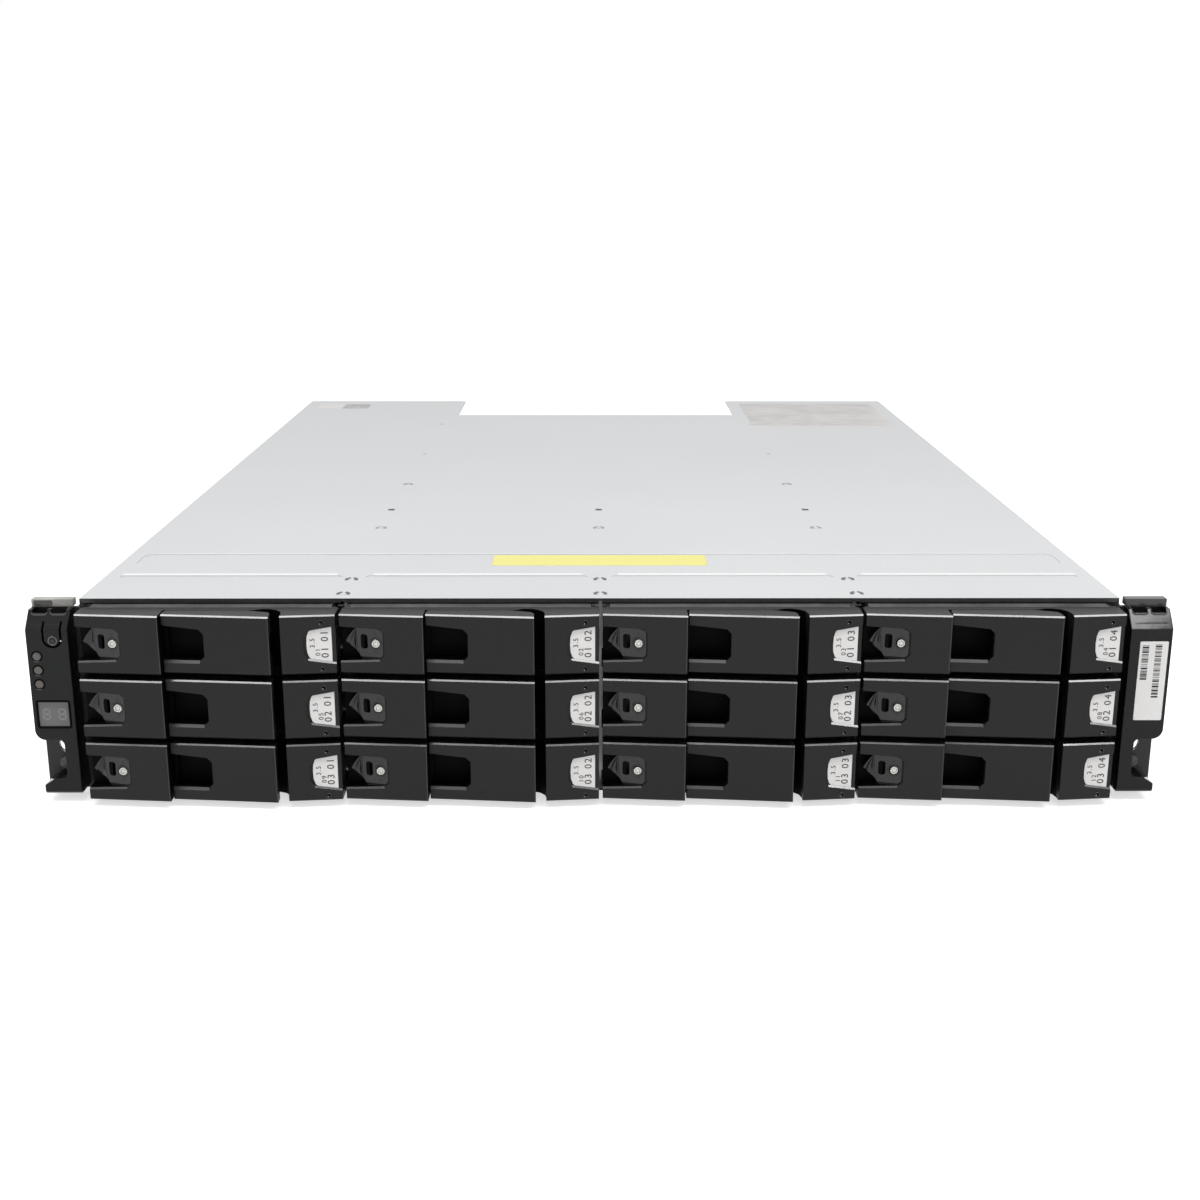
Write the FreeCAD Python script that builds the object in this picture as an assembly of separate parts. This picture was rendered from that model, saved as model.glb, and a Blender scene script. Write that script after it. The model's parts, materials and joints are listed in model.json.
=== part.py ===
"""Disk shelf enclosure: a two-unit rack chassis with twelve drive carriers.

Units are millimetres. X runs to the right, Y to the rear and Z up. While it is
built, y = 0 is the front face of the rack flanges and x = 0 the middle plane.
On export every piece moves along Y, so that the origin ends under the middle
of the whole shelf.
"""
import FreeCAD, Part
import math
import os

Vector = FreeCAD.Vector

# ---------------------------------------------------------------- overall
body_width = 443.0        # across the side walls
body_depth = 576.8        # rack face to the rear edge of the cover
body_height = 87.9        # two rack units less a working gap
flange_reach = 20.0       # each rack flange beyond the side wall
sheet = 1.2               # steel of the base, the cover and the inner walls
slide_gap = 0.5           # between a sliding unit and what guides it
seat_gap = 0.2            # between pieces that fit into one another
running_gap = 0.05        # radial clearance of a pin or barrel in its bore
over = 1.0                # a cutting tool's reach past the faces that it opens
same_place = 1e-6         # points closer than this are one

# ---------------------------------------------------------------- drive bays
columns = 4
rows = 3
wall_gap = 0.3            # side wall to the outermost column line
bezel_gap = 2.8           # free height between bezels one above the other
bezel_lift = 1.6          # bezel underside above its row's floor line
midplane_thick = 2.4
air_slot = (62.0, 4.0)    # width and height of each airflow slot in the midplane

# ---------------------------------------------------------------- carrier bezel
bezel_back = -5.5         # y of the bezel's rear face
lock_panel_start = 1.0    # in from the column line
lock_panel_width = 35.3
lock_front = (-16.0, -19.2)      # y of the front face at its left and right ends
handle_front = (-16.4, -20.6)
label_front = (-19.0, -16.8)
handle_seam = 0.7         # between the lock panel and the handle
scoop_gap = 4.6           # between the handle's free edge and the label panel
label_panel_width = 22.4
label_panel_inset = 0.6   # in from the next column line
web_front = -9.5          # y of the wall behind the handle
edge_bevel = 0.6          # broken edges along the fronts of bezels and handles
finger_lip = 1.1          # slope along the lower edge of the finger hole
pocket_lip = 0.7          # and of the lock's and the label's recesses
lip_margin = 0.3          # a lip's tool starts this far above the edge
shortest_bevel = 1.0

handle_skin = 2.2
handle_lip = 1.7
handle_lip_back = -9.9
handle_end_lean = 0.7     # the lip's rear corner, in from its front one
handle_end_wall = 2.0
handle_hub_wall = 0.5
handle_bore_cap = 0.8     # left over each end of the pin's bore
pivot_inset = 3.2         # hinge axis from the handle's free edge
pivot_y = -15.4
hinge_pin_r = 1.0
pin_setback = 1.0         # the pin's ends, in from the handle's edges
knuckle_r = 3.0
scoop_r = 7.6
scoop_flats = 5
pin_sides = 8
lug_r = 2.6
lug_height = 7.6
lug_root = 0.5            # the lug starts this deep in the scoop's wall

finger_width = 17.6       # finger hole in the handle's left end
finger_low = 5.8
finger_high = (21.1, 19.6)       # top edge at the hole's left and right ends
finger_corner = 2.0
finger_rim = 1.3
finger_rim_depth = 5.2
pocket_wall = 1.5         # of web left behind the finger pocket
pocket_room = (1.0, 4.0, 2.0)        # pocket's left and right ends and lips, from the handle's

lock_x = 16.0             # lock screw, from the column line
lock_r = 1.8
lock_sides = 8
lock_head = 0.6           # stands proud of its plate
lock_cam_reach = 6.0
lock_cam_thick = 1.2
lock_cam_gap = 0.4
lock_pocket_width = 18.6
lock_pocket_half = (7.6, 6.7)    # half height at its left and right ends
lock_pocket_corner = 2.0
lock_plate_left = 8.6
lock_plate_step = 3.2     # plate surface behind the front face, at its left end
lock_plate_sink = 1.2     # and at its right end
lock_plate_fall = 1.5     # the plate's left edge slopes this far down to the floor
lock_floor = -9.6         # y of the deep end of the pocket
lock_slot = (3.0, 6.6)    # width and height of the slot in the plate
lock_slot_inset = 1.2
lock_slot_floor = -9.2
lock_cavity_front = -7.8
lock_cavity_room = 2.0    # round the turning cam

label_recess = (13.2, 12.2, 16.2)    # width, height at the left, height at the right
label_recess_depth = 0.9
label_recess_corner = 1.6

# ---------------------------------------------------------------- carrier tray and drive
drive_width = 101.6
drive_length = 147.0
drive_height = 26.1
drive_front = 6.0
tray_sheet = 1.5
tray_plate = 1.0
tray_rail_low = 4.0
tray_rail_height = 17.0
tray_flange = 0.7
tray_flange_drop = 0.1    # below the bezel's top
tray_plate_inset = (1.0, 0.8)        # the front plate's sides and foot, in from the bezel's
tray_flange_inset = 4.0
tray_flange_back = 5.0
divider_start = 10.0      # y of the bay walls' front edges
runner_setback = 1.0      # runners start behind those edges
tray_tail = 15.0          # rail length behind the drive
tail_strap = 3.2          # height of the strap that joins the rails' tails
runner_sheet = 0.5
runner_ledge = 1.0
plug = (40.0, 2.0, 8.0)   # tongue on the carrier's rear: width, thickness, reach
plug_body = (48.0, 15.0)
plug_lift = 6.4           # middle of the tongue above the rails' lower edge
socket_wall = 3.0
socket_front_gap = 1.0    # between the tray's tail and the socket
socket_depth = 17.0

# ---------------------------------------------------------------- cover
notch_width = 203.5
notch_depth = 70.4
cover_groove_y = 36.5
cover_groove = (99.5, 5.0, 0.4)      # length, width and depth of each pressed groove
cover_panel = (428.8, 22.3, 0.3)     # the long pressed panel behind them
cover_panel_y = 67.9
pressed_corner = 5.0
tenon = 5.0               # length of the wall tenons seen in the cover
divider_tenons = (134.0, 178.0)
bay_wall_tenons = (248.0, 345.0, 464.0)
brace_depth = 12.0
brace_sheet = 0.7

# ---------------------------------------------------------------- rack ears
rack_hole_inset = 8.95    # hole columns, in from the flanges' outer edges
rack_hole_z = (21.73, 66.18)
rack_hole_r = 3.4
flange_sheet = 2.0
flange_low = 2.0
flange_top = 84.2
flange_leg = 60.0
flange_leg_sheet = 1.5
screw_z = 14.6            # captive screw below the lower rack hole
screw_r = 2.0
screw_head_r = 2.8
screw_sides = 12
screw_head = 3.0
screw_length = 9.0
ear_front = -11.5
ear_gap = 2.4             # between the side wall and the ear
ear_low = 28.2            # underside of the wide part
ear_corner = 4.5
ear_bend = 2.4            # inner corners beside the lower rack hole
ear_chamfer_z = 77.4      # the top slopes back from here
ear_top = 84.6
ear_top_y = -5.4
ear_wall = 1.8
ear_strip = 5.6           # width of the strip beside the lower rack hole
ear_foot_z = (3.6, 10.6)
ear_foot_inset = 2.0      # the foot's outer end, in from the flange's edge
ear_foot_end = 4.0        # height of that end
ear_foot_fall = 4.6       # width of the slope down to it
ear_foot_bevel = 1.0
ear_notch = (6.4, 3.0, 1.8)          # width, run and depth of the two notches in the top edge
ear_notch_x = (4.7, 12.7)            # notches, window, lamps and tab from the ear's inner side
ear_clip = (17.5, 4.4, 3.0)          # plate on top: width, depth, height
ear_clip_front = -1.0
lamp_x = 13.7
lamp_z = (65.8, 59.6, 53.4)
lamp_r = 1.8
lamp_proud = 0.2
lamp_sides = 12
window_x = (2.4, 15.4)
window_z = (34.3, 45.4)
window_sink = 0.4
snap_x = 6.7
snap_z = 73.5
snap_r = 3.7
snap_slot = 1.0
snap_legs = 7.0
panel_board = 1.6
panel_board_y = -4.6
panel_margin = 0.45       # clear of the ear's walls
panel_reach = 2.0         # past the window and the uppermost lamp

# ---------------------------------------------------------------- rear bays
bay_wall_gap = 1.6        # between the midplane and the rear bay walls
power_side_gap = 2.6
power_lift = 0.6          # free height under and over a power module
power_setback = 23.6      # the module's front, behind the midplane
power_intake = 20.0       # height of the two air intakes in the module's front wall
power_intake_inset = 8.0
power_intake_side = 10.0
case_sheet = 1.0
fan_x = 77.0              # fan centres, from the module's left side
fan_r = 18.2              # duct
fan_depth = 26.0
fan_size = 39.0
fan_rotor_r = 17.2
fan_hub_r = 9.0
fan_sides = 16
fan_blades = 5
fan_blade_chord = 8.5
fan_blade_thick = 1.2
fan_blade_pitch = 38.0
fan_blade_root = 1.0      # the blade starts this deep in the hub
fan_blade_tip = 0.8       # and stops this far inside the rotor's sweep
fan_shaft_r = 1.5
fan_recess = 3.0          # rotor faces inside the housing's
fan_arm = 3.0
fan_arm_root = 0.5        # the arms reach this deep into the duct's wall
fan_boss_wall = 2.5
inlet = (27.2, 19.6, 20.0)           # mains inlet: width, height, depth
inlet_centre = (24.0, 17.0)
inlet_wall = 1.4
inlet_proud = 1.0
inlet_corner = 3.5
inlet_floor = 16.0
inlet_pin = (2.0, 4.0, 9.0)
inlet_pin_root = 0.5
inlet_pins = ((-7.0, -1.5), (7.0, -1.5), (0.0, 2.5))       # from the inlet's middle
switch_size = (21.0, 13.0)
switch_centre = (24.0, 40.0)
switch_wall = 1.0
switch_depth = 12.0
switch_proud = 1.0
switch_axis_depth = 2.6   # the rocker's axis inside the module's rear face
rocker_swing_gap = 0.4    # further free height at its two edges
rocker_edge = (1.2, 0.6)  # its edges' reach inside the axis, and their lean
rocker_keel = 3.4
switch_tilt = 12.0        # slope of the rocker's resting half
latch_x = 50.5            # middle of the module's latch handle
latch_width = 13.0
latch_axis_z = 14.0       # hinge axis above the module's underside
latch_high = 74.0
latch_thick = 4.0
latch_stand = 9.0         # hinge axis behind the module's rear face
latch_pin_r = 2.0
latch_eye_r = 5.0
latch_neck = 8.0          # the bar narrows from the eye to this height above the axis
latch_lug_foot = 6.0      # half the lug's height at the rear face
latch_grip = 26.1         # the grip's reach behind the rear edge of the body
latch_lug = 3.0
latch_curl = 9.0          # radius of the bend into the grip

io_side_gap = 3.4
io_lift = 0.7             # module underside above its shelf
io_top_gap = 1.45
io_setback = 19.6
io_port_x = (-62.0, -30.0, 2.0)
io_port = (21.4, 9.6, 16.0)          # cable socket: width, height, depth
io_port_wall = 0.8
io_port_proud = 0.8
io_port_z = 27.0
io_lever_pivot_x = 92.0
io_lever_length = 88.0
io_lever_z = 9.0
io_lever = (9.0, 3.0)     # height and thickness
io_lever_stand = 6.5      # hinge axis behind the module's rear face
io_lever_pin_r = 1.6
io_eye_r = 3.0
io_lever_neck = 8.0
io_grip = (12.0, 5.0, 2.0)           # flared free end: length, rise and tip
io_fork_sheet = 2.0
io_fork = (5.0, 4.0)      # half its width at the rear face, and its round end's radius
io_vent = (12.0, 5.0, 60.0, 14.0)    # vent in from the right, down from the top, width, height
io_intake = (70.0, 50.0, 8.0)        # two air intakes: middle, width, margin above and below
io_board = 2.0
rear_plug = (60.0, 3.0, 9.0)         # tongue on a rear module: width, thickness, reach
rear_plug_block = 10.0    # height of the block that carries it
rear_socket_depth = 14.0

# ---------------------------------------------------------------- derived sizes
half_width = body_width / 2
inner_x = half_width - sheet
lid_z = body_height - sheet
flange_span = body_width + 2 * flange_reach
rack_pitch_x = flange_span - 2 * rack_hole_inset
ear_inner = half_width + ear_gap
column_pitch = (body_width - 2 * (sheet + wall_gap)) / columns
row_pitch = (body_height - 2 * sheet) / rows
bezel_height = row_pitch - bezel_gap
io_back = body_depth - notch_depth
lock_panel_end = lock_panel_start + lock_panel_width
label_panel_end = column_pitch - label_panel_inset
label_panel_start = label_panel_end - label_panel_width
handle_start = lock_panel_end + handle_seam
handle_end = label_panel_start - scoop_gap
pivot_x = handle_end - pivot_inset
rail_x = (column_pitch - drive_width) / 2 - tray_sheet
drive_low = (row_pitch - drive_height) / 2 - bezel_lift
tray_back = drive_front + drive_length + tray_tail
socket_front = tray_back + socket_front_gap
midplane_front = socket_front + socket_depth
midplane_back = midplane_front + midplane_thick
runner_start = divider_start + runner_setback
bay_wall_start = midplane_back + bay_wall_gap
wall_x = column_pitch     # middle of the walls beside the middle bay
power_width = inner_x - wall_x - sheet / 2 - 2 * power_side_gap
power_height = lid_z - sheet - 2 * power_lift
power_front = midplane_back + power_setback
io_width = 2 * wall_x - sheet - 2 * io_side_gap
io_height = (lid_z - 2 * sheet) / 2 - io_lift - io_top_gap
io_front = midplane_back + io_setback
rear_reach = body_depth + latch_grip
front_reach = handle_front[1]
depth_middle = (rear_reach + front_reach) / 2
row_floors = [sheet + row * row_pitch for row in range(rows)]
column_lines = [(column - columns / 2) * column_pitch for column in range(columns + 1)]


# ---------------------------------------------------------------- shape helpers
def box(x0, x1, y0, y1, z0, z1):
    return Part.makeBox(x1 - x0, y1 - y0, z1 - z0, Vector(x0, y0, z0))


def rod(x, y, z, direction, radius, length):
    return Part.makeCylinder(radius, length, Vector(x, y, z), direction)


ALONG_X = Vector(1, 0, 0)
ALONG_Y = Vector(0, 1, 0)
ALONG_Z = Vector(0, 0, 1)


def prism(outline, along, low, high):
    """A straight-sided solid. The outline lies across the axis named by along.

    Each entry of the outline is a corner (u, v), or a pair of such points: an
    arc through the first to the second. An arc may close the outline.
    """
    place = {
        "x": lambda u, v: Vector(low, u, v),
        "y": lambda u, v: Vector(u, low, v),
        "z": lambda u, v: Vector(u, v, low),
    }[along]
    direction = {"x": ALONG_X, "y": ALONG_Y, "z": ALONG_Z}[along]
    here = place(*outline[0])
    edges = []
    for entry in outline[1:] + outline[:1]:
        is_arc = isinstance(entry[0], tuple)
        end = place(*(entry[1] if is_arc else entry))
        if is_arc:
            edges.append(Part.Arc(here, place(*entry[0]), end).toShape())
        elif end.distanceToPoint(here) > same_place:
            edges.append(Part.LineSegment(here, end).toShape())
        here = end
    face = Part.Face(Part.Wire(edges))
    return face.extrude(direction * (high - low))


def arc(centre, radius, start, end):
    """The outline entry for an arc round centre, from angle start to end in degrees."""
    at = [
        (centre[0] + radius * math.cos(math.radians(a)), centre[1] + radius * math.sin(math.radians(a)))
        for a in ((start + end) / 2, end)
    ]
    return (at[0], at[1])


def facets(centre, radius, start, end, count):
    """Corners of a round stretch drawn as count flats, for pieces that repeat."""
    turn = (end - start) / count
    return [
        (
            centre[0] + radius * math.cos(math.radians(start + turn * step)),
            centre[1] + radius * math.sin(math.radians(start + turn * step)),
        )
        for step in range(count + 1)
    ]


def flat_rod(u, v, along, radius, low, high, sides):
    """A rod with flat sides inside the given radius, for small pins and screws."""
    turn = 180.0 / sides
    return prism(facets((u, v), radius, turn, 360 + turn, sides)[:-1], along, low, high)


def flat_hole(u, v, along, radius, low, high, sides):
    """The tool for a flat-sided hole that a rod of the given radius can turn in."""
    return flat_rod(u, v, along, radius / math.cos(math.pi / sides), low, high, sides)


def pressed_bar(x0, x1, y0, y1, z0, z1):
    """A bar along X with rounded ends, seen from above."""
    r = min((y1 - y0) / 2, pressed_corner)
    outline = facets((x1 - r, y0 + r), r, -90, 0, 2) + facets((x1 - r, y1 - r), r, 0, 90, 2)
    outline += facets((x0 + r, y1 - r), r, 90, 180, 2) + facets((x0 + r, y0 + r), r, 180, 270, 2)
    return prism(outline, "z", z0, z1)


def fused(first, *others):
    return first.fuse(list(others)).removeSplitter()


def bevelled(shape, size, wanted):
    """The shape with the edges for which wanted(start, end) is true broken by a bevel."""
    edges = [edge for edge in shape.Edges if wanted(edge.Vertexes[0].Point, edge.Vertexes[-1].Point)]
    return shape.makeChamfer(size, edges)


def at(shape, x, y, z):
    copy = shape.copy()
    copy.translate(Vector(x, y, z))
    return copy


def mirrored(shape):
    return shape.mirror(Vector(0, 0, 0), ALONG_X)


def save(node, *shapes):
    """Write one node, moved into the frame whose origin is under the shelf's middle."""
    solids = [at(solid, 0, -depth_middle, 0) for shape in shapes for solid in shape.Solids]
    whole = solids[0] if len(solids) == 1 else Part.makeCompound(solids)
    whole.exportStep("parts/" + node + ".step")


# ---------------------------------------------------------------- chassis sheet metal
def chassis_base():
    floor = box(-half_width, half_width, 0, body_depth, 0, sheet)
    walls = [
        box(side - sheet / 2, side + sheet / 2, 0, body_depth, sheet, lid_z)
        for side in (-half_width + sheet / 2, half_width - sheet / 2)
    ]
    return fused(floor, *walls)


def tenon_box(x, y, gap):
    half = tenon / 2 + gap
    return box(x - sheet / 2 - gap, x + sheet / 2 + gap, y - half, y + half, lid_z, body_height)


def top_cover():
    lid = box(-half_width, half_width, 0, body_depth, lid_z, body_height)
    length, width, depth = cover_groove
    panel_length, panel_width, panel_depth = cover_panel
    cuts = [
        box(-notch_width / 2, notch_width / 2, io_back, body_depth + over, lid_z - over, body_height + over),
        pressed_bar(
            -panel_length / 2,
            panel_length / 2,
            cover_panel_y - panel_width / 2,
            cover_panel_y + panel_width / 2,
            body_height - panel_depth,
            body_height + over,
        ),
    ]
    for line in column_lines[:-1]:
        middle = line + column_pitch / 2
        y0 = cover_groove_y - width / 2
        top = body_height + over
        x0, x1 = middle - length / 2, middle + length / 2
        cuts.append(pressed_bar(x0, x1, y0, y0 + width, body_height - depth, top))
    for line in column_lines[1:-1]:
        cuts += [tenon_box(line, y, seat_gap) for y in divider_tenons]
    for x in (-wall_x, wall_x):
        cuts += [tenon_box(x, y, seat_gap) for y in bay_wall_tenons]
    return lid.cut(cuts)


def bay_dividers():
    walls = []
    for line in column_lines[1:-1]:
        wall = box(line - sheet / 2, line + sheet / 2, divider_start, midplane_front, sheet, lid_z)
        walls.append(fused(wall, *[tenon_box(line, y, 0) for y in divider_tenons]))
    return walls


def bay_sides(line):
    """Inner faces of the walls on both sides of the drive column that starts at line."""
    left = -inner_x if line == column_lines[0] else line + sheet / 2
    right = inner_x if line == column_lines[-2] else line + column_pitch - sheet / 2
    return left, right


def front_braces():
    """Flat strips under the cover's front edge, one over each drive column."""
    strips = []
    for line in column_lines[:-1]:
        x0, x1 = bay_sides(line)
        strips.append(box(x0, x1, 0, brace_depth, lid_z - brace_sheet, lid_z))
    return strips


def bay_runner(face_x, into, rail_inside):
    """A channel on a bay wall at face_x. It wraps a carrier's rail, whose inner face is given."""
    web = face_x + into * runner_sheet
    lips = rail_inside - into * slide_gap
    low = tray_rail_low - slide_gap
    high = tray_rail_low + tray_rail_height + slide_gap
    outline = [
        (face_x, low - runner_ledge),
        (lips, low - runner_ledge),
        (lips, low),
        (web, low),
        (web, high),
        (lips, high),
        (lips, high + runner_ledge),
        (face_x, high + runner_ledge),
    ]
    return prism(outline, "y", runner_start, tray_back)


def bay_runners():
    runners = []
    for line in column_lines[:-1]:
        left_wall, right_wall = bay_sides(line)
        left = bay_runner(left_wall, 1, line + rail_x + tray_sheet)
        right = bay_runner(right_wall, -1, line + column_pitch - rail_x - tray_sheet)
        for floor in row_floors:
            z = floor + bezel_lift
            runners += [at(left, 0, 0, z), at(right, 0, 0, z)]
    return runners


def rear_bay_walls():
    walls = []
    for x in (-wall_x, wall_x):
        wall = box(x - sheet / 2, x + sheet / 2, bay_wall_start, body_depth, sheet, lid_z)
        walls.append(fused(wall, *[tenon_box(x, y, 0) for y in bay_wall_tenons]))
    middle = (sheet + lid_z) / 2
    half = wall_x - sheet / 2
    shelf = box(-half, half, bay_wall_start, io_back, middle - sheet / 2, middle + sheet / 2)
    return walls + [shelf]


# ---------------------------------------------------------------- midplane
def socket(width, thickness, reach, y0, y1, mouth_at_front):
    """A connector block round a tongue's slot. Its middle is at x = 0, z = 0."""
    half_x = width / 2 + socket_wall
    half_z = thickness / 2 + socket_wall
    block = box(-half_x, half_x, y0, y1, -half_z, half_z)
    half_x = width / 2 + slide_gap
    half_z = thickness / 2 + slide_gap
    if mouth_at_front:
        slot = box(-half_x, half_x, y0 - over, y0 + reach + slide_gap, -half_z, half_z)
    else:
        slot = box(-half_x, half_x, y1 - reach - slide_gap, y1 + over, -half_z, half_z)
    return block.cut(slot)


def drive_plug_place(line, floor):
    """Middle of a carrier's rear plug."""
    return line + column_pitch / 2, floor + bezel_lift + tray_rail_low + plug_lift


def rear_units():
    """Left side, lower face, width, height and front face of each rear module."""
    power_left = (-inner_x - wall_x + sheet / 2) / 2 - power_width / 2
    power_right = -power_left - power_width
    power_low = (sheet + lid_z - power_height) / 2
    shelf_top = (sheet + lid_z) / 2 + sheet / 2
    return {
        "power_left": (power_left, power_low, power_width, power_height, power_front),
        "power_right": (power_right, power_low, power_width, power_height, power_front),
        "io_lower": (-io_width / 2, sheet + io_lift, io_width, io_height, io_front),
        "io_upper": (-io_width / 2, shelf_top + io_lift, io_width, io_height, io_front),
    }


def midplane():
    half = inner_x - slide_gap
    board = box(-half, half, midplane_front, midplane_back, sheet + slide_gap, lid_z - slide_gap)
    slots = []
    sockets = []
    width, thickness, reach = plug
    for line in column_lines[:-1]:
        for floor in row_floors:
            x, z = drive_plug_place(line, floor)
            sockets.append(at(socket(width, thickness, reach, socket_front, midplane_front, True), x, 0, z))
            half_slot, top = air_slot[0] / 2, floor + row_pitch
            slot_front, slot_back = midplane_front - over, midplane_back + over
            slots.append(box(x - half_slot, x + half_slot, slot_front, slot_back, top - air_slot[1], top))
    width, thickness, reach = rear_plug
    for x0, low, unit_width, height, front in rear_units().values():
        piece = socket(width, thickness, reach, midplane_back, midplane_back + rear_socket_depth, False)
        sockets.append(at(piece, x0 + unit_width / 2, 0, low + height / 2))
    return [board.cut(slots)] + sockets


# ---------------------------------------------------------------- drive carriers
def front_at(ends, x0, x1, x):
    """y of a slanting front face at x."""
    return ends[0] + (ends[1] - ends[0]) * (x - x0) / (x1 - x0)


def lock_plate_y(x):
    """y of the surface of the lock's plate, which sinks further below the face at its left end."""
    left, end = lock_panel_start + lock_plate_left, lock_panel_start + lock_pocket_width
    depth = front_at((lock_plate_step, lock_plate_sink), left, end, x)
    return front_at(lock_front, lock_panel_start, lock_panel_end, x) + depth


def lock_pocket():
    """The scoop round the lock screw: deep at the left, rising onto the lock's plate."""
    left, end = lock_panel_start + lock_plate_left, lock_panel_start + lock_pocket_width
    outside = lock_panel_start - over
    plan = prism(
        [
            (outside, lock_front[1] - over),
            (end, lock_front[1] - over),
            (end, lock_plate_y(end)),
            (left, lock_plate_y(left)),
            (left - lock_plate_fall, lock_floor),
            (outside, lock_floor),
        ],
        "z",
        0,
        bezel_height,
    )
    middle = bezel_height / 2
    left_half, right_half = lock_pocket_half
    face = prism(
        [
            (outside, middle - left_half),
            (end - lock_pocket_corner, middle - right_half),
            (end, middle - right_half + lock_pocket_corner),
            (end, middle + right_half - lock_pocket_corner),
            (end - lock_pocket_corner, middle + right_half),
            (outside, middle + left_half),
        ],
        "y",
        lock_front[1] - over,
        bezel_back,
    )
    return plan.common(face)


def label_pocket():
    width, left_height, right_height = label_recess
    x0, x1 = label_panel_end - width, label_panel_end + over
    middle = bezel_height / 2
    corner = label_recess_corner
    face = prism(
        [
            (x0 + corner, middle - left_height / 2),
            (x1, middle - right_height / 2),
            (x1, middle + right_height / 2),
            (x0 + corner, middle + left_height / 2),
            (x0, middle + left_height / 2 - 2 * corner),
            (x0, middle - left_height / 2 + 2 * corner),
        ],
        "y",
        label_front[0] - over,
        bezel_back,
    )
    floor = [
        (x, front_at(label_front, label_panel_start, label_panel_end, x) + label_recess_depth)
        for x in (x1 + over, x0 - over)
    ]
    plan = prism(
        [(x0 - over, label_front[0] - over), (x1 + over, label_front[0] - over), *floor],
        "z",
        0,
        bezel_height,
    )
    return face.common(plan)


def lip_tool(start, end, size):
    """Slopes the lower edge of an opening in a front face, from one point of that edge to another."""
    x, y, z = start
    high = z + lip_margin
    corners = [(y - over, z - size - over), (y + size, z), (y + size, high), (y - over, high)]
    outline = Part.makePolygon([Vector(x, *corner) for corner in corners + corners[:1]])
    return Part.Face(outline).extrude(Vector(*end) - Vector(*start))


def pocket_lips():
    """Tools for the slopes along the lower edges of the lock's pocket and the label's recess."""
    middle = bezel_height / 2
    left_half, right_half = lock_pocket_half
    x0, x1 = lock_panel_start - over, lock_panel_start + lock_pocket_width - lock_pocket_corner
    y0, y1 = (front_at(lock_front, lock_panel_start, lock_panel_end, x) for x in (x0, x1))
    lock_lip = lip_tool((x0, y0, middle - left_half), (x1, y1, middle - right_half), pocket_lip)
    width, left_height, right_height = label_recess
    x0, x1 = label_panel_end - width + label_recess_corner, label_panel_end + over
    y0, y1 = (front_at(label_front, label_panel_start, label_panel_end, x) for x in (x0, x1))
    label_lip = lip_tool((x0, y0, middle - left_height / 2), (x1, y1, middle - right_height / 2), pocket_lip)
    return [lock_lip, label_lip]


def is_front_edge(limit, height):
    """Chooses the level edges along the top and bottom of a front face."""

    def wanted(start, end):
        level = abs(start.z - end.z) < same_place
        outer = min(abs(start.z), abs(start.z - height)) < same_place
        return level and outer and start.y < limit and end.y < limit and abs(start.x - end.x) > shortest_bevel

    return wanted


def carrier_bezel():
    """The moulded front: lock panel, the web and scoop behind the handle, and label panel."""
    top = bezel_height
    pivot = (pivot_x, pivot_y)
    web_corner = math.degrees(math.acos((web_front - pivot_y) / scoop_r)) + 90
    body = prism(
        [
            (lock_panel_start, bezel_back),
            (lock_panel_start, lock_front[0]),
            (lock_panel_end, lock_front[1]),
            (lock_panel_end, web_front),
            *facets(pivot, scoop_r, web_corner, 0, scoop_flats),
            (pivot_x + scoop_r, label_front[0]),
            (label_panel_end, label_front[1]),
            (label_panel_end, bezel_back),
        ],
        "z",
        0,
        top,
    )
    front_limit = max(lock_front[0], label_front[1]) + lip_margin
    body = bevelled(body, edge_bevel, is_front_edge(front_limit, top))
    middle = top / 2
    low, high = middle - lug_height / 2, middle + lug_height / 2
    lug = prism(
        [(pivot_x + lug_r, pivot_y + scoop_r + lug_root), (pivot_x - lug_r, pivot_y + scoop_r + lug_root)]
        + facets(pivot, lug_r, 180, 360, 4),
        "z",
        low,
        high,
    )
    slot_x = lock_panel_start + lock_plate_left + lock_slot_inset
    slot_width, slot_height = lock_slot
    room_left, room_right, room_lips = pocket_room
    finger_room = box(
        handle_start + room_left,
        handle_start + finger_width + room_right,
        web_front - over,
        bezel_back - pocket_wall,
        handle_lip + room_lips,
        top - handle_lip - room_lips,
    )
    cam_room = lock_cam_reach + lock_cavity_room
    cavity = box(
        lock_x - cam_room,
        lock_x + cam_room,
        lock_cavity_front,
        bezel_back + over,
        middle - cam_room,
        middle + cam_room,
    )
    slot = box(
        slot_x,
        slot_x + slot_width,
        lock_plate_y(slot_x) - over,
        lock_slot_floor,
        middle - slot_height / 2,
        middle + slot_height / 2,
    )
    y0, y1 = lock_plate_y(lock_x) - over, bezel_back + over
    lock_hole = flat_hole(lock_x, middle, "y", lock_r + running_gap, y0, y1, lock_sides)
    pin_hole = flat_rod(pivot_x, pivot_y, "z", hinge_pin_r, low - over, high + over, pin_sides)
    body = fused(body.cut([finger_room, lock_pocket(), label_pocket(), *pocket_lips()]), lug)
    return body.cut([pin_hole, lock_hole, cavity, slot])


def finger_outline(grow):
    """The finger hole in the handle, grown by grow. It is open at the handle's left end."""
    x0 = handle_start - over - grow
    x1 = handle_start + finger_width + grow
    low = finger_low - grow
    left_high, right_high = finger_high[0] + grow, finger_high[1] + grow
    corner = finger_corner
    return [
        (x0, low),
        (x1 - corner, low),
        (x1, low + corner),
        (x1, right_high - corner),
        (x1 - corner, right_high),
        (x0, left_high),
    ]


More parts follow.
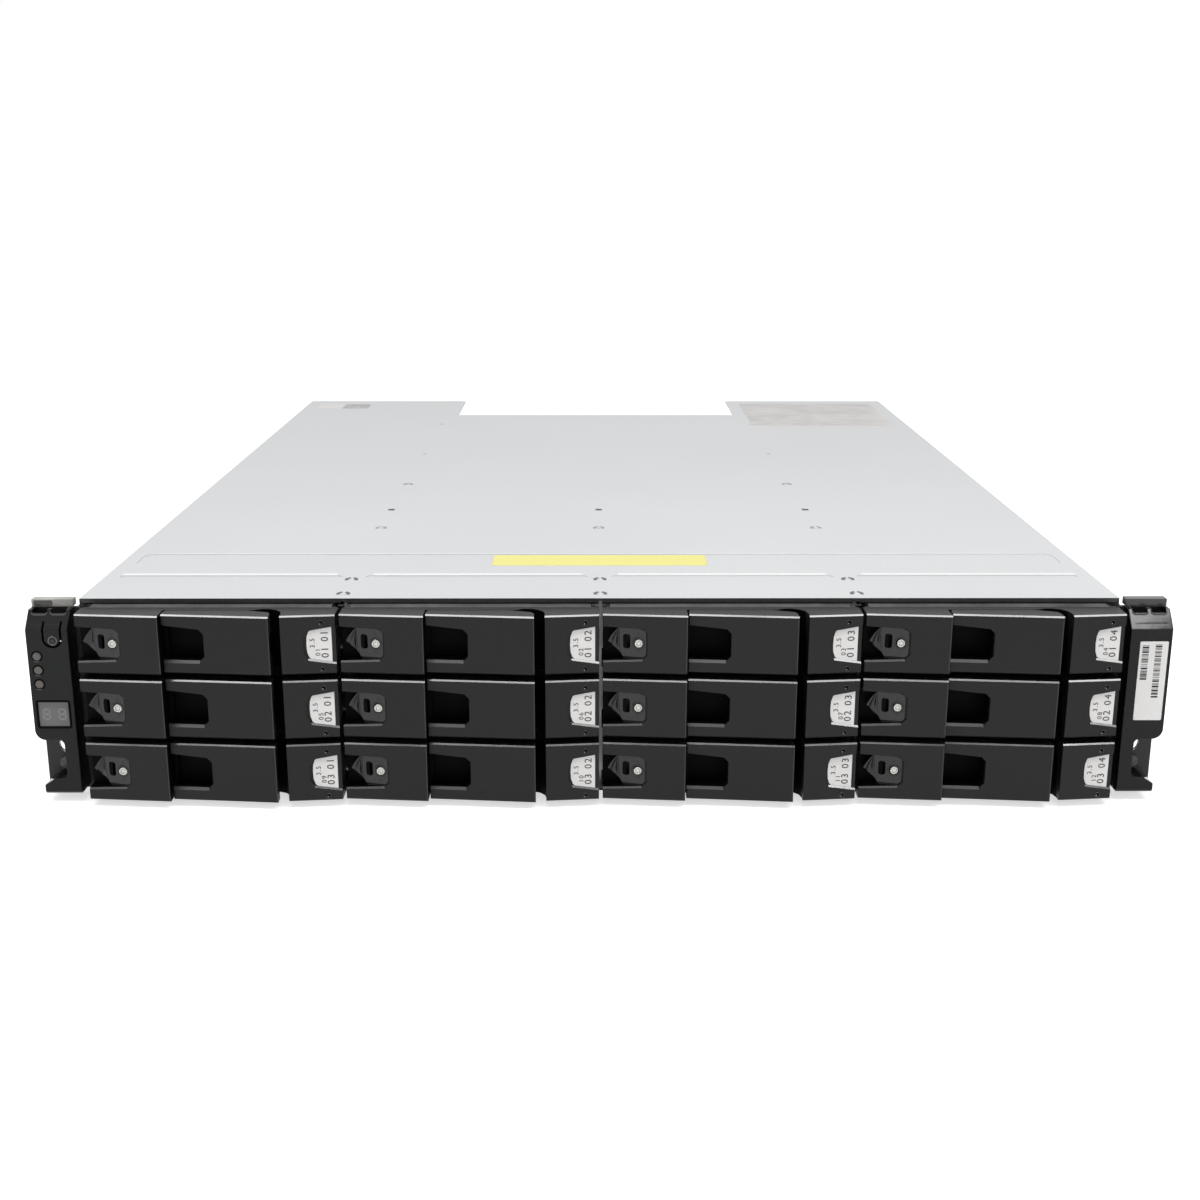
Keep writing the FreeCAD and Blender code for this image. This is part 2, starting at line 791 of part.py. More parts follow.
def carrier_handle():
    """The hinged front: a skin with lips, a rimmed finger hole and two hinge knuckles."""
    top = bezel_height
    left_front, right_front = handle_front
    pivot = (pivot_x, pivot_y)
    knuckle = facets(pivot, knuckle_r, 0, 90, 2)
    slab = prism(
        [
            (handle_start, left_front),
            (handle_end, right_front),
            *knuckle,
            (pivot_x - scoop_r, handle_lip_back),
            (handle_start + handle_end_lean, handle_lip_back),
            (handle_start, left_front + handle_skin + handle_end_wall),
        ],
        "z",
        0,
        top,
    )
    slab = bevelled(slab, edge_bevel, is_front_edge(left_front + lip_margin, top))
    low, high = (top - lug_height) / 2 - slide_gap, (top + lug_height) / 2 + slide_gap
    inside = [
        (handle_start - over, left_front + handle_skin),
        (handle_end + over, right_front + handle_skin),
        (handle_end + over, bezel_back),
        (handle_start - over, bezel_back),
    ]
    hollow = prism(inside, "z", handle_lip, top - handle_lip)
    hub = prism(
        [*knuckle, (pivot_x - knuckle_r, pivot_y + knuckle_r), (pivot_x - knuckle_r, right_front + over)]
        + [(handle_end - handle_hub_wall, right_front + over)],
        "z",
        0,
        top,
    )
    rim = prism(finger_outline(finger_rim), "y", left_front, left_front + finger_rim_depth)
    handle_side = box(handle_start, handle_end, left_front + handle_skin / 2, bezel_back, 0, top)
    body = slab.cut(hollow.cut([rim.common(handle_side), hub]))
    hole = prism(finger_outline(0), "y", right_front - over, bezel_back)
    x0, x1 = handle_start - over, handle_start + finger_width - finger_corner
    y0, y1 = (front_at(handle_front, handle_start, handle_end, x) for x in (x0, x1))
    lip = lip_tool((x0, y0, finger_low), (x1, y1, finger_low), finger_lip)
    bore_r = hinge_pin_r + running_gap
    bore = flat_hole(pivot_x, pivot_y, "z", bore_r, handle_bore_cap, top - handle_bore_cap, pin_sides)
    room_end, room_back = handle_end + 2 * over, pivot_y + knuckle_r + over
    lug_room = prism(
        [(room_end, room_back), (pivot_x - knuckle_r - over, room_back)]
        + facets(pivot, lug_r + slide_gap, 180, 360, 4)[1:-1]
        + [(room_end, pivot_y)],
        "z",
        low,
        high,
    )
    return body.cut([hole, lip, bore, lug_room])


def hinge_pin():
    return flat_rod(pivot_x, pivot_y, "z", hinge_pin_r, pin_setback, bezel_height - pin_setback, pin_sides)


def carrier_tray():
    """Folded steel tray: front plate with a top flange, side rails, and a strap at their tails."""
    right = column_pitch - rail_x
    rail_top = tray_rail_low + tray_rail_height
    plate_back = bezel_back + tray_plate
    flange_z = bezel_height - tray_flange_drop
    inset, foot = tray_plate_inset
    x0, x1 = lock_panel_start + inset, label_panel_end - inset
    plate = box(x0, x1, bezel_back, plate_back, foot, flange_z)
    flange = box(
        tray_flange_inset,
        column_pitch - tray_flange_inset,
        bezel_back,
        tray_flange_back,
        flange_z - tray_flange,
        flange_z,
    )
    rails = [
        box(rail_x, rail_x + tray_sheet, plate_back, tray_back, tray_rail_low, rail_top),
        box(right - tray_sheet, right, plate_back, tray_back, tray_rail_low, rail_top),
    ]
    tail = box(rail_x, right, tray_back - tray_sheet, tray_back, tray_rail_low, tray_rail_low + tail_strap)
    return fused(plate, flange, tail, *rails)


def drive():
    x0 = (column_pitch - drive_width) / 2
    x1 = x0 + drive_width
    y0, y1 = drive_front, drive_front + drive_length
    top = drive_low + drive_height
    return box(x0, x1, y0, y1, drive_low, top)


def interposer():
    """Connector block behind the drive, with the tongue that enters the midplane socket."""
    width, height = plug_body
    tongue_width, tongue_thick, reach = plug
    middle = column_pitch / 2
    back = tray_back - tray_sheet
    low = tray_rail_low
    z = low + plug_lift
    block = box(middle - width / 2, middle + width / 2, drive_front + drive_length, back, low, low + height)
    tongue = box(
        middle - tongue_width / 2,
        middle + tongue_width / 2,
        back,
        socket_front + reach,
        z - tongue_thick / 2,
        z + tongue_thick / 2,
    )
    return fused(block, tongue)


def lock_barrel():
    """Anti-tamper lock screw; the cam on its end stands upright when unlocked."""
    middle = bezel_height / 2
    head_y = lock_plate_y(lock_x) - lock_head
    back = lock_cavity_front + lock_cam_gap
    barrel = flat_rod(lock_x, middle, "y", lock_r, head_y, back, lock_sides)
    cam = prism(
        [
            (lock_x - lock_r, middle - lock_r),
            (lock_x + lock_r, middle - lock_r),
            (lock_x + lock_r / 2, middle + lock_cam_reach),
            (lock_x - lock_r / 2, middle + lock_cam_reach),
        ],
        "y",
        back,
        back + lock_cam_thick,
    )
    return fused(barrel, cam)


def save_carriers():
    pieces = [carrier_bezel(), carrier_tray(), drive(), interposer(), hinge_pin()]
    handle = carrier_handle()
    lock = lock_barrel()
    number = 0
    for floor in reversed(row_floors):
        for line in column_lines[:-1]:
            number += 1
            place = (line, 0, floor + bezel_lift)
            save("carrier_%02d" % number, *[at(piece, *place) for piece in pieces])
            save("carrier_handle_%02d" % number, at(handle, *place))
            save("carrier_lock_%02d" % number, at(lock, *place))


# ---------------------------------------------------------------- rack ears
def rack_flange():
    """The right flange with its leg along the chassis wall, and its captive screw."""
    outer = flange_span / 2
    plate = box(half_width, outer, 0, flange_sheet, flange_low, flange_top)
    leg = box(half_width, half_width + flange_leg_sheet, 0, flange_leg, flange_low, flange_top)
    x, y0, y1 = rack_pitch_x / 2, -over, flange_sheet + over
    holes = [rod(x, y0, z, ALONG_Y, rack_hole_r, y1 - y0) for z in rack_hole_z]
    holes.append(flat_hole(x, screw_z, "y", screw_r + seat_gap, y0, y1, pin_sides))
    bracket = fused(plate, leg).cut(holes)
    screw = fused(
        flat_rod(x, screw_z, "y", screw_head_r, -screw_head, 0, screw_sides),
        flat_rod(x, screw_z, "y", screw_r, 0, screw_length, pin_sides),
    )
    return [bracket, screw]


def ear_outline(inset):
    """Front outline of the right ear's moulding, drawn inwards by inset."""
    outer = flange_span / 2 - inset
    inner = ear_inner + inset
    strip = ear_inner + ear_strip - inset
    corner = ear_corner - min(inset, ear_corner / 2)
    low = ear_low + inset
    foot_low, foot_high = ear_foot_z[0] + inset, ear_foot_z[1] - inset
    foot_end = outer - ear_foot_inset
    bend = ear_bend
    return [
        (inner, foot_low),
        (foot_end, foot_low),
        (foot_end, foot_low + ear_foot_end - 2 * inset),
        (foot_end - ear_foot_fall, foot_high),
        (strip + bend, foot_high),
        arc((strip + bend, foot_high + bend), bend, 270, 180),
        (strip, low - bend),
        arc((strip + bend, low - bend), bend, 180, 90),
        (outer - corner, low),
        arc((outer - corner, low + corner), corner, 270, 360),
        (outer, ear_top),
        (inner, ear_top),
    ]


def ear_shell():
    """The right ear's moulding, open at the back where it meets the flange."""
    body = prism(ear_outline(0), "y", ear_front, -seat_gap)
    hollow = prism(ear_outline(ear_wall), "y", ear_front + ear_wall, over)
    top_slope = prism(
        [
            (ear_front - over, ear_chamfer_z),
            (ear_front, ear_chamfer_z),
            (ear_top_y, ear_top),
            (ear_top_y, ear_top + over),
            (ear_front - over, ear_top + over),
        ],
        "x",
        ear_inner - over,
        flange_span / 2 + over,
    )
    foot_low = ear_foot_z[0]
    under_slope = prism(
        [
            (ear_front - over, foot_low - over),
            (ear_front - over, foot_low + ear_foot_bevel),
            (ear_front, foot_low + ear_foot_bevel),
            (ear_front + ear_foot_bevel, foot_low),
            (ear_front + ear_foot_bevel, foot_low - over),
        ],
        "x",
        ear_inner - over,
        flange_span / 2 + over,
    )
    inner_slope = prism(
        [
            (ear_front, ear_chamfer_z),
            (ear_top_y + ear_wall, ear_top),
            (ear_top_y + ear_wall, ear_top + over),
            (ear_front - over, ear_top + over),
            (ear_front - over, ear_chamfer_z),
        ],
        "x",
        ear_inner - over,
        flange_span / 2 + over,
    )
    hollow = hollow.cut(inner_slope)
    width, run, depth = ear_notch
    notches = [
        box(x - width / 2, x + width / 2, ear_top_y - over, ear_top_y + run, ear_top - depth, ear_top + over)
        for x in (ear_inner + offset for offset in ear_notch_x)
    ]
    return body.cut([top_slope, under_slope, hollow] + notches)


def ear_clip_plate():
    width, depth, height = ear_clip
    outer, back = flange_span / 2, ear_clip_front + depth
    low = ear_top + seat_gap
    return box(outer - width, outer, ear_clip_front, back, low, low + height)


def snap_tab_slot():
    """The U-shaped slot that frees the snap tab on the operator's ear."""
    outer, inner = snap_r + snap_slot / 2, snap_r - snap_slot / 2
    x = ear_inner + snap_x
    top = snap_z + snap_legs
    outline = [(x - outer, top), *facets((x, snap_z), outer, 180, 360, 8), (x + outer, top)]
    outline += [(x + inner, top), *facets((x, snap_z), inner, 360, 180, 8), (x - inner, top)]
    return prism(outline, "y", ear_front - over, ear_front + ear_wall + over)


def window_box(grow, y0, y1):
    x0, x1 = (ear_inner + offset for offset in window_x)
    return box(x0 - grow, x1 + grow, y0, y1, window_z[0] - grow, window_z[1] + grow)


def operator_ear():
    """The ear that holds the lights and the display, drawn on the right before mirroring."""
    back = ear_front + ear_wall + over
    x = ear_inner + lamp_x
    cuts = [flat_hole(x, z, "y", lamp_r + seat_gap / 2, ear_front - over, back, lamp_sides) for z in lamp_z]
    cuts.append(window_box(seat_gap, ear_front - over, back))
    cuts.append(snap_tab_slot())
    return ear_shell().cut(cuts)


def operator_panel():
    """Display, light pipes and the board that carries them, drawn on the right."""
    x = ear_inner + lamp_x
    lamps = [flat_rod(x, z, "y", lamp_r, ear_front - lamp_proud, panel_board_y, lamp_sides) for z in lamp_z]
    display = window_box(0, ear_front + window_sink, panel_board_y)
    x0, x1 = ear_inner + ear_wall + panel_margin, flange_span / 2 - ear_wall - panel_margin
    board_back = panel_board_y + panel_board
    board = box(x0, x1, panel_board_y, board_back, window_z[0] - panel_reach, lamp_z[0] + 2 * panel_reach)
    return lamps + [display, board]


# ---------------------------------------------------------------- rear modules
def fan_rotor(x, y, z):
    """Hub, shaft and blades about an axis along Y through x, z; its front face is at y."""
    depth = fan_depth - 2 * fan_recess
    hub = flat_rod(x, z, "y", fan_hub_r, y, y + depth, pin_sides)
    shaft = flat_rod(x, z, "y", fan_shaft_r, y - fan_recess, y, pin_sides)
    blades = []
    for number in range(fan_blades):
        blade = box(
            x + fan_hub_r - fan_blade_root,
            x + fan_rotor_r - fan_blade_tip,
            y + depth / 2 - fan_blade_chord,
            y + depth / 2 + fan_blade_chord,
            z - fan_blade_thick / 2,
            z + fan_blade_thick / 2,
        )
        blade.rotate(Vector(x, y + depth / 2, z), ALONG_X, fan_blade_pitch)
        blade.rotate(Vector(x, y, z), ALONG_Y, 360.0 * number / fan_blades)
        blades.append(blade)
    return fused(hub, shaft, *blades)


def fan_centres(low):
    return [low + power_height / 4, low + power_height * 3 / 4]


def power_fan_frame(x, z):
    """Square fan housing with a round duct, and a spider that carries the rotor's shaft."""
    y1 = body_depth - case_sheet
    y0 = y1 - fan_depth
    half = fan_size / 2
    frame = box(x - half, x + half, y0, y1, z - half, z + half)
    frame = frame.cut(flat_hole(x, z, "y", fan_r, y0 - over, y1 + over, fan_sides))
    arms_back = y0 + fan_recess - slide_gap
    length, thick = fan_r + fan_arm_root, fan_arm / 2
    arms = [
        box(x - length, x + length, y0, arms_back, z - thick, z + thick),
        box(x - thick, x + thick, y0, arms_back, z - length, z + length),
    ]
    boss = flat_rod(x, z, "y", fan_shaft_r + fan_boss_wall, y0, arms_back, pin_sides)
    frame = fused(frame, boss, *arms)
    return frame.cut(flat_hole(x, z, "y", fan_shaft_r + running_gap, y0 - over, arms_back + over, pin_sides))


def mains_inlet(x, z):
    """Recessed inlet with three blade pins."""
    width, height, depth = inlet
    y1 = body_depth + inlet_proud
    outer = box(x - width / 2, x + width / 2, y1 - depth, y1, z - height / 2, z + height / 2)
    half_x, half_z = width / 2 - inlet_wall, height / 2 - inlet_wall
    cavity = prism(
        [
            (x - half_x, z - half_z),
            (x + half_x, z - half_z),
            (x + half_x, z + half_z - inlet_corner),
            (x + half_x - inlet_corner, z + half_z),
            (x - half_x + inlet_corner, z + half_z),
            (x - half_x, z + half_z - inlet_corner),
        ],
        "y",
        y1 - inlet_floor,
        y1 + over,
    )
    pin_width, pin_height, pin_length = inlet_pin
    pins = [
        box(
            x + dx - pin_width / 2,
            x + dx + pin_width / 2,
            y1 - inlet_floor - inlet_pin_root,
            y1 - inlet_floor + pin_length,
            z + dz - pin_height / 2,
            z + dz + pin_height / 2,
        )
        for dx, dz in inlet_pins
    ]
    return fused(outer.cut(cavity), *pins)


def switch_frame(x, z):
    width, height = switch_size
    y1 = body_depth + switch_proud
    y0 = y1 - switch_depth
    outer = box(x - width / 2, x + width / 2, y0, y1, z - height / 2, z + height / 2)
    well = box(
        x - width / 2 + switch_wall,
        x + width / 2 - switch_wall,
        y0 + switch_wall,
        y1 + over,
        z - height / 2 + switch_wall,
        z + height / 2 - switch_wall,
    )
    return outer.cut(well)


def rocker(x, z):
    """Rocker that tilts about an axis along X; its face is a shallow V."""
    width, height = switch_size
    half_x = width / 2 - switch_wall - slide_gap
    half_z = height / 2 - switch_wall - slide_gap - rocker_swing_gap
    axis_y = body_depth - switch_axis_depth
    reach, lean = rocker_edge
    outline = [
        (axis_y - reach, z - half_z + lean),
        (body_depth + half_z * math.tan(math.radians(switch_tilt)), z - half_z),
        (body_depth, z),
        (body_depth, z + half_z),
        (axis_y - reach, z + half_z - lean),
        (axis_y - rocker_keel, z),
    ]
    return prism(outline, "x", x - half_x, x + half_x)


def latch_axis(low):
    return body_depth + latch_stand, low + latch_axis_z


def power_latch(x, low):
    """Lever that locks the module: an upright bar with an outward-curling grip."""
    axis_y, axis_z = latch_axis(low)
    top = low + latch_high
    back = body_depth + latch_grip
    half = latch_thick / 2
    curl = (axis_y + latch_curl, top - latch_curl)
    outline = [
        (axis_y + half, axis_z + latch_neck),
        *facets(curl, latch_curl - half, 180, 90, 3),
        (back, top - half),
        (back, top + half),
        *facets(curl, latch_curl + half, 90, 180, 3),
        (axis_y - half, axis_z + latch_neck),
        *facets((axis_y, axis_z), latch_eye_r, 180, 360, 6),
    ]
    bar = prism(outline, "x", x - latch_width / 2, x + latch_width / 2)
    hole_r = latch_pin_r + running_gap
    return bar.cut(flat_hole(axis_y, axis_z, "x", hole_r, x - latch_width, x + latch_width, lock_sides))


def power_latch_mount(x, low):
    """Two lugs on the module's rear wall, and the pin through them."""
    axis_y, axis_z = latch_axis(low)
    lugs = []
    for side in (-1, 1):
        near = x + side * (latch_width / 2 + slide_gap)
        x0, x1 = sorted((near, near + side * latch_lug))
        lug = prism(
            [
                (body_depth, axis_z - latch_lug_foot),
                *facets((axis_y, axis_z), latch_eye_r, -90, 90, 4),
                (body_depth, axis_z + latch_lug_foot),
            ],
            "x",
            x0,
            x1,
        )
        lugs.append(lug.cut(flat_rod(axis_y, axis_z, "x", latch_pin_r, x0 - over, x1 + over, lock_sides)))
    half = latch_width / 2 + slide_gap + latch_lug
    pin = flat_rod(axis_y, axis_z, "x", latch_pin_r, x - half, x + half, lock_sides)
    return lugs, pin


def power_case(x0, low):
    """Sheet-metal box, open to the midplane, with openings for fans, inlet and switch."""
    x1, high = x0 + power_width, low + power_height
    inside_y, inside_back = power_front + 2 * case_sheet, body_depth - 2 * case_sheet
    shell = box(x0, x1, power_front, body_depth, low, high)
    inside = box(
        x0 + case_sheet,
        x1 - case_sheet,
        power_front + case_sheet,
        body_depth - case_sheet,
        low + case_sheet,
        high - case_sheet,
    )
    cuts = [inside]
    for z in fan_centres(low):
        cuts.append(flat_hole(x0 + fan_x, z, "y", fan_r, inside_back, body_depth + over, fan_sides))
    for size, centre in ((inlet, inlet_centre), (switch_size, switch_centre)):
        x, z = x0 + centre[0], low + centre[1]
        half_x, half_z = size[0] / 2 + seat_gap / 2, size[1] / 2 + seat_gap / 2
        cuts.append(box(x - half_x, x + half_x, inside_back, body_depth + over, z - half_z, z + half_z))
    for z in (low + power_intake_inset, high - power_intake_inset - power_intake):
        left, right = x0 + power_intake_side, x1 - power_intake_side
        cuts.append(box(left, right, power_front - over, inside_y, z, z + power_intake))
    return shell.cut(cuts)


def unit_plug(x, z, front):
    """Connector block on a rear module's front wall, with its tongue into the midplane."""
    width, thickness, reach = rear_plug
    mouth = midplane_back + rear_socket_depth
    back = mouth + slide_gap
    half_x, half_z = width / 2 + socket_wall, rear_plug_block / 2
    block = box(x - half_x, x + half_x, back, front, z - half_z, z + half_z)
    half_x, half_z = width / 2, thickness / 2
    tongue = box(x - half_x, x + half_x, mouth - reach, back, z - half_z, z + half_z)
    return fused(block, tongue)


def save_power_module(side, x0, low):
    latch_middle = x0 + latch_x
    lugs, pin = power_latch_mount(latch_middle, low)
    case = fused(power_case(x0, low), *lugs)
    fans = [power_fan_frame(x0 + fan_x, z) for z in fan_centres(low)]
    plug_piece = unit_plug(x0 + power_width / 2, low + power_height / 2, power_front)
    inlet_piece = mains_inlet(x0 + inlet_centre[0], low + inlet_centre[1])
    frame = switch_frame(x0 + switch_centre[0], low + switch_centre[1])
    save("power_module_" + side, case, pin, inlet_piece, frame, plug_piece, *fans)
    save("power_latch_" + side, power_latch(latch_middle, low))
    save("power_switch_" + side, rocker(x0 + switch_centre[0], low + switch_centre[1]))
    rotor_y = body_depth - case_sheet - fan_depth + fan_recess
    for level, z in zip(("lower", "upper"), fan_centres(low)):
        save("fan_rotor_" + side + "_" + level, fan_rotor(x0 + fan_x, rotor_y, z))


def io_port_cage(x, z):
    width, height, depth = io_port
    y1 = io_back + io_port_proud
    outer = box(x - width / 2, x + width / 2, y1 - depth, y1, z - height / 2, z + height / 2)
    wall = io_port_wall
    inside = box(
        x - width / 2 + wall,
        x + width / 2 - wall,
        y1 - depth + wall,
        y1 + over,
        z - height / 2 + wall,
        z + height / 2 - wall,
    )
    return outer.cut(inside)


def io_lever_mount(low):
    """Fork on the module's rear wall with the lever's pin."""
    x, axis_y = io_lever_pivot_x, io_back + io_lever_stand
    height = io_lever[0]
    half, end_r = io_fork
    z0 = low + io_lever_z - height / 2 - slide_gap
    z1 = z0 + height + 2 * slide_gap
    plates = []
    for z in (z0 - io_fork_sheet, z1):
        outline = [(x + half, io_back), *facets((x, axis_y), end_r, 0, 180, 4), (x - half, io_back)]
        plate = prism(outline, "z", z, z + io_fork_sheet)
        low_end, high_end = z - over, z + io_fork_sheet + over
        plates.append(plate.cut(flat_rod(x, axis_y, "z", io_lever_pin_r, low_end, high_end, pin_sides)))
    pin = flat_rod(x, axis_y, "z", io_lever_pin_r, z0 - io_fork_sheet, z1 + io_fork_sheet, pin_sides)
    return plates, pin


def io_lever_piece(low):
    """Flat lever along the rear wall, with a finger loop at its free end."""
    axis_y = io_back + io_lever_stand
    height, thick = io_lever
    x1 = io_lever_pivot_x
    x0 = x1 - io_lever_length
    z0 = low + io_lever_z - height / 2
    half = thick / 2
    length, rise, tip = io_grip
    outline = [
        *facets((x1, axis_y), io_eye_r, -90, 90, 6),
        (x1 - io_lever_neck, axis_y + half),
        (x0 + length, axis_y + half),
        (x0 + tip, axis_y + half + rise),
        (x0, axis_y + half + rise - tip),
        (x0 + length - tip, axis_y - half),
        (x1 - io_lever_neck, axis_y - half),
    ]
    lever = prism(outline, "z", z0, z0 + height)
    hole_r = io_lever_pin_r + running_gap
    return lever.cut(flat_hole(x1, axis_y, "z", hole_r, z0 - over, z0 + height + over, pin_sides))


def io_case(low):
    """Sheet-metal box with air intakes in front, and the cable sockets and a vent behind."""
    half, high = io_width / 2, low + io_height
    shell = box(-half, half, io_front, io_back, low, high)
    inside_x = half - case_sheet
    inside = box(
        -inside_x, inside_x, io_front + case_sheet, io_back - case_sheet, low + case_sheet, high - case_sheet
    )
    cuts = [inside]
    front_inside, rear_inside = io_front + 2 * case_sheet, io_back - 2 * case_sheet
    width, height = io_port[0] + seat_gap, io_port[1] + seat_gap
    z = low + io_port_z - height / 2
    cuts += [box(x - width / 2, x + width / 2, rear_inside, io_back + over, z, z + height) for x in io_port_x]
    vent_x, vent_z, width, height = io_vent
    x1, z1 = half - vent_x, high - vent_z
    cuts.append(box(x1 - width, x1, rear_inside, io_back + over, z1 - height, z1))
    middle, width, margin = io_intake
    for x in (-middle - width / 2, middle - width / 2):
        cuts.append(box(x, x + width, io_front - over, front_inside, low + margin, high - margin))
    return shell.cut(cuts)


def io_board_piece(low):
    """The circuit board on which the sockets stand."""
    half = io_width / 2 - case_sheet - slide_gap
    margin = case_sheet + slide_gap
    top = low + io_port_z - io_port[1] / 2
    return box(-half, half, io_front + margin, io_back - margin, top - io_board, top)


def save_io_module(level, low):
    lugs, pin = io_lever_mount(low)
    case = fused(io_case(low), *lugs)
    cages = [io_port_cage(x, low + io_port_z) for x in io_port_x]
    plug_piece = unit_plug(0, low + io_height / 2, io_front)
    save("io_module_" + level, case, pin, plug_piece, io_board_piece(low), *cages)
    save("io_lever_" + level, io_lever_piece(low))


# ---------------------------------------------------------------- all nodes
def main():
    os.makedirs("parts", exist_ok=True)
    save("chassis_base", chassis_base())
    save("top_cover", top_cover())
    save("bay_dividers", *bay_dividers(), *front_braces())
    save("bay_runners", *bay_runners())
    save("midplane", *midplane())
    save("rear_bay_walls", *rear_bay_walls())
    flange = rack_flange()
    save("rack_flanges", *flange, *[mirrored(piece) for piece in flange])
    save("right_ear_cap", ear_shell(), ear_clip_plate())
    save("left_ear_cap", mirrored(operator_ear()), mirrored(ear_clip_plate()))
    save("operator_panel", *[mirrored(piece) for piece in operator_panel()])
    save_carriers()
    units = rear_units()
    for side in ("left", "right"):
        x0, low = units["power_" + side][:2]
        save_power_module(side, x0, low)
    for level in ("lower", "upper"):
        save_io_module(level, units["io_" + level][1])


main()
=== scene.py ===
"""Looks of the disk shelf enclosure: materials, labels, lamps, screws and small trim.

Lengths are millimetres in the part's own build frame: y = 0 at the front of the cover,
z = 0 at the underside. point() turns a place into metres in the shared frame. A carrier's
sizes count x from its line, the left edge of its column, and z from its lower edge.
Pieces are drawn in their own u, v, w, where w points out of the surface that they lie on.
Only the studio is in metres.
"""
import json
import math
import random

import bmesh
import bpy
from mathutils import Matrix, Vector


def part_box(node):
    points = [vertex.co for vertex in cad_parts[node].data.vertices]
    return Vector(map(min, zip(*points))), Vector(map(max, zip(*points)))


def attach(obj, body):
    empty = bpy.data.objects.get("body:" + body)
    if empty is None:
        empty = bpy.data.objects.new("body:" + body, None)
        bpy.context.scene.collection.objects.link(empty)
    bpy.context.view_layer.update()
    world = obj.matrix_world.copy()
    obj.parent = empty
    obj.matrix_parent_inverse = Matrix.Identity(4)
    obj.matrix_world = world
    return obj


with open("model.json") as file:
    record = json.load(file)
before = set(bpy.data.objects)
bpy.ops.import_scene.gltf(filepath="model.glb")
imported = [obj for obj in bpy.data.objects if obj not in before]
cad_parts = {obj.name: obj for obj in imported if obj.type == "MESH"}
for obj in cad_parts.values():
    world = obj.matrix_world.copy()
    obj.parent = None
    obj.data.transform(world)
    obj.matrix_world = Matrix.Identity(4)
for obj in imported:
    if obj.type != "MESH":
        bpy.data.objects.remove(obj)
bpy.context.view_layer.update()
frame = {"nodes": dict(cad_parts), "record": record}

# ---------------------------------------------------------------- sizes from the frame
MM = 0.001


def in_mm(length):
    """A length of the frame in millimetres, to the micrometre."""
    return round(length / MM, 3)


COVER_LOW, COVER_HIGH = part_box("top_cover")
DEPTH_MIDDLE = -in_mm(COVER_LOW.y)
BODY_DEPTH = in_mm(COVER_HIGH.y) + DEPTH_MIDDLE
BODY_HEIGHT = in_mm(COVER_HIGH.z)


def point(x, y, z):
    return Vector((x * MM, (y - DEPTH_MIDDLE) * MM, z * MM))


def low_corner(node):
    """The lowest corner of a CAD node, in the build frame."""
    x, y, z = (in_mm(length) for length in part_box(node)[0])
    return x, y + DEPTH_MIDDLE, z


HANDLE_START = 37.0
HANDLE_LOW, HANDLE_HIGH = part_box("carrier_handle_01")
HANDLE_END = HANDLE_START + in_mm(HANDLE_HIGH.x - HANDLE_LOW.x)
HANDLE_FRONT_END = low_corner("carrier_handle_01")[1]
BEZEL_HEIGHT = in_mm(HANDLE_HIGH.z - HANDLE_LOW.z)
COLUMNS = 4


def list_carriers():
    """Each carrier's tag, line, lower edge, and row and column as its label says them."""
    carriers = []
    for tag in sorted(name[-2:] for name in frame["nodes"] if name.startswith("carrier_lock_")):
        x, _, low = low_corner("carrier_handle_" + tag)
        row, column = divmod(int(tag) - 1, COLUMNS)
        carriers.append((tag, x - HANDLE_START, low, "0%d 0%d" % (row + 1, column + 1)))
    return carriers


CARRIERS = list_carriers()
POWER_CORNERS = {side: low_corner("power_module_" + side) for side in ("left", "right")}
IO_LOWS = {level: low_corner("io_module_" + level)[2] for level in ("lower", "upper")}
EAR_FRONT = low_corner("left_ear_cap")[1]
RACK_HOLES = next(mount for mount in frame["record"]["mounts"] if mount["name"] == "rack_holes")
RACK_HOLE_X = RACK_HOLES["dims"]["spacing_x_mm"] / 2
RACK_HOLE_Z = [in_mm(RACK_HOLES["pos_m"][2]) + side * RACK_HOLES["dims"]["spacing_y_mm"] / 2
               for side in (-1, 1)]

# ---------------------------------------------------------------- sizes inside the nodes
# what each span or limit holds is in its name; the faces inside it get that part's material
NEAR = 0.05      # how far a face may lie past a size and still belong to it

# rack flanges, ears and midplane
FLANGE_SHEET = (0.0, 2.0)
CAPTIVE_SCREW_Z = 14.6
CAPTIVE_SCREW_RADIUS = 2.85
CLIP_PLATE_LOW = 84.7
PANEL_BOARD_FRONT = -4.7
PANEL_LAMPS_LOW = 48.0
MIDPLANE_BOARD = (185.8, 188.6)

# a carrier
MOULDED_FRONT_BACK = -5.49
LABEL_PANEL = ((87.0, -19.0), (109.4, -16.8))      # a panel's two ends in plan, as (x, y)
LABEL_PANEL_LIT = 90.0
LABEL_RECESS_DEPTH = 0.9
LABEL_AT = (102.3, 12.85)
STATUS_X = 103.6
LOCK_PLATE = ((9.6, -13.58), (19.6, -16.49))
LOCK_X = 16.0
LOCK_SLOT_X = 11.0
LOCK_HEAD_PROUD = 0.7
LOCK_PANEL_END = 36.3
LOCK_PANEL_ROUND = 1.5
LOCK_FRONT_END = -19.2
LOCK_POCKET_REACH = 7.7
LOCK_POCKET_FRONT = -15.4
SCOOP_END = 86.5
BEZEL_RIM = 0.2
EDGE_BAND = 2.0
HINGE_PIN_X = (75.0, 84.0)
HINGE_PIN_TOP = 1.5
HINGE_PIN_BACK = -10.0
HANDLE_SKIN_BACK = -19.0
HANDLE_HOLLOW_FRONT = -15.5
GASKET_BACK = 5.1
GASKET_LOW = BEZEL_HEIGHT - 0.9
DRIVE_TOP = 25.7
DRIVE_MIDDLE = (55.0, 79.5)
DRIVE_REACH = 50.9
DRIVE_Y = (5.9, 153.1)
CONNECTOR_X = (25.0, 85.0)
TRAY_BACK_WALL = (167.0, 168.1)
TRAY_BACK_WALL_TOP = 7.3

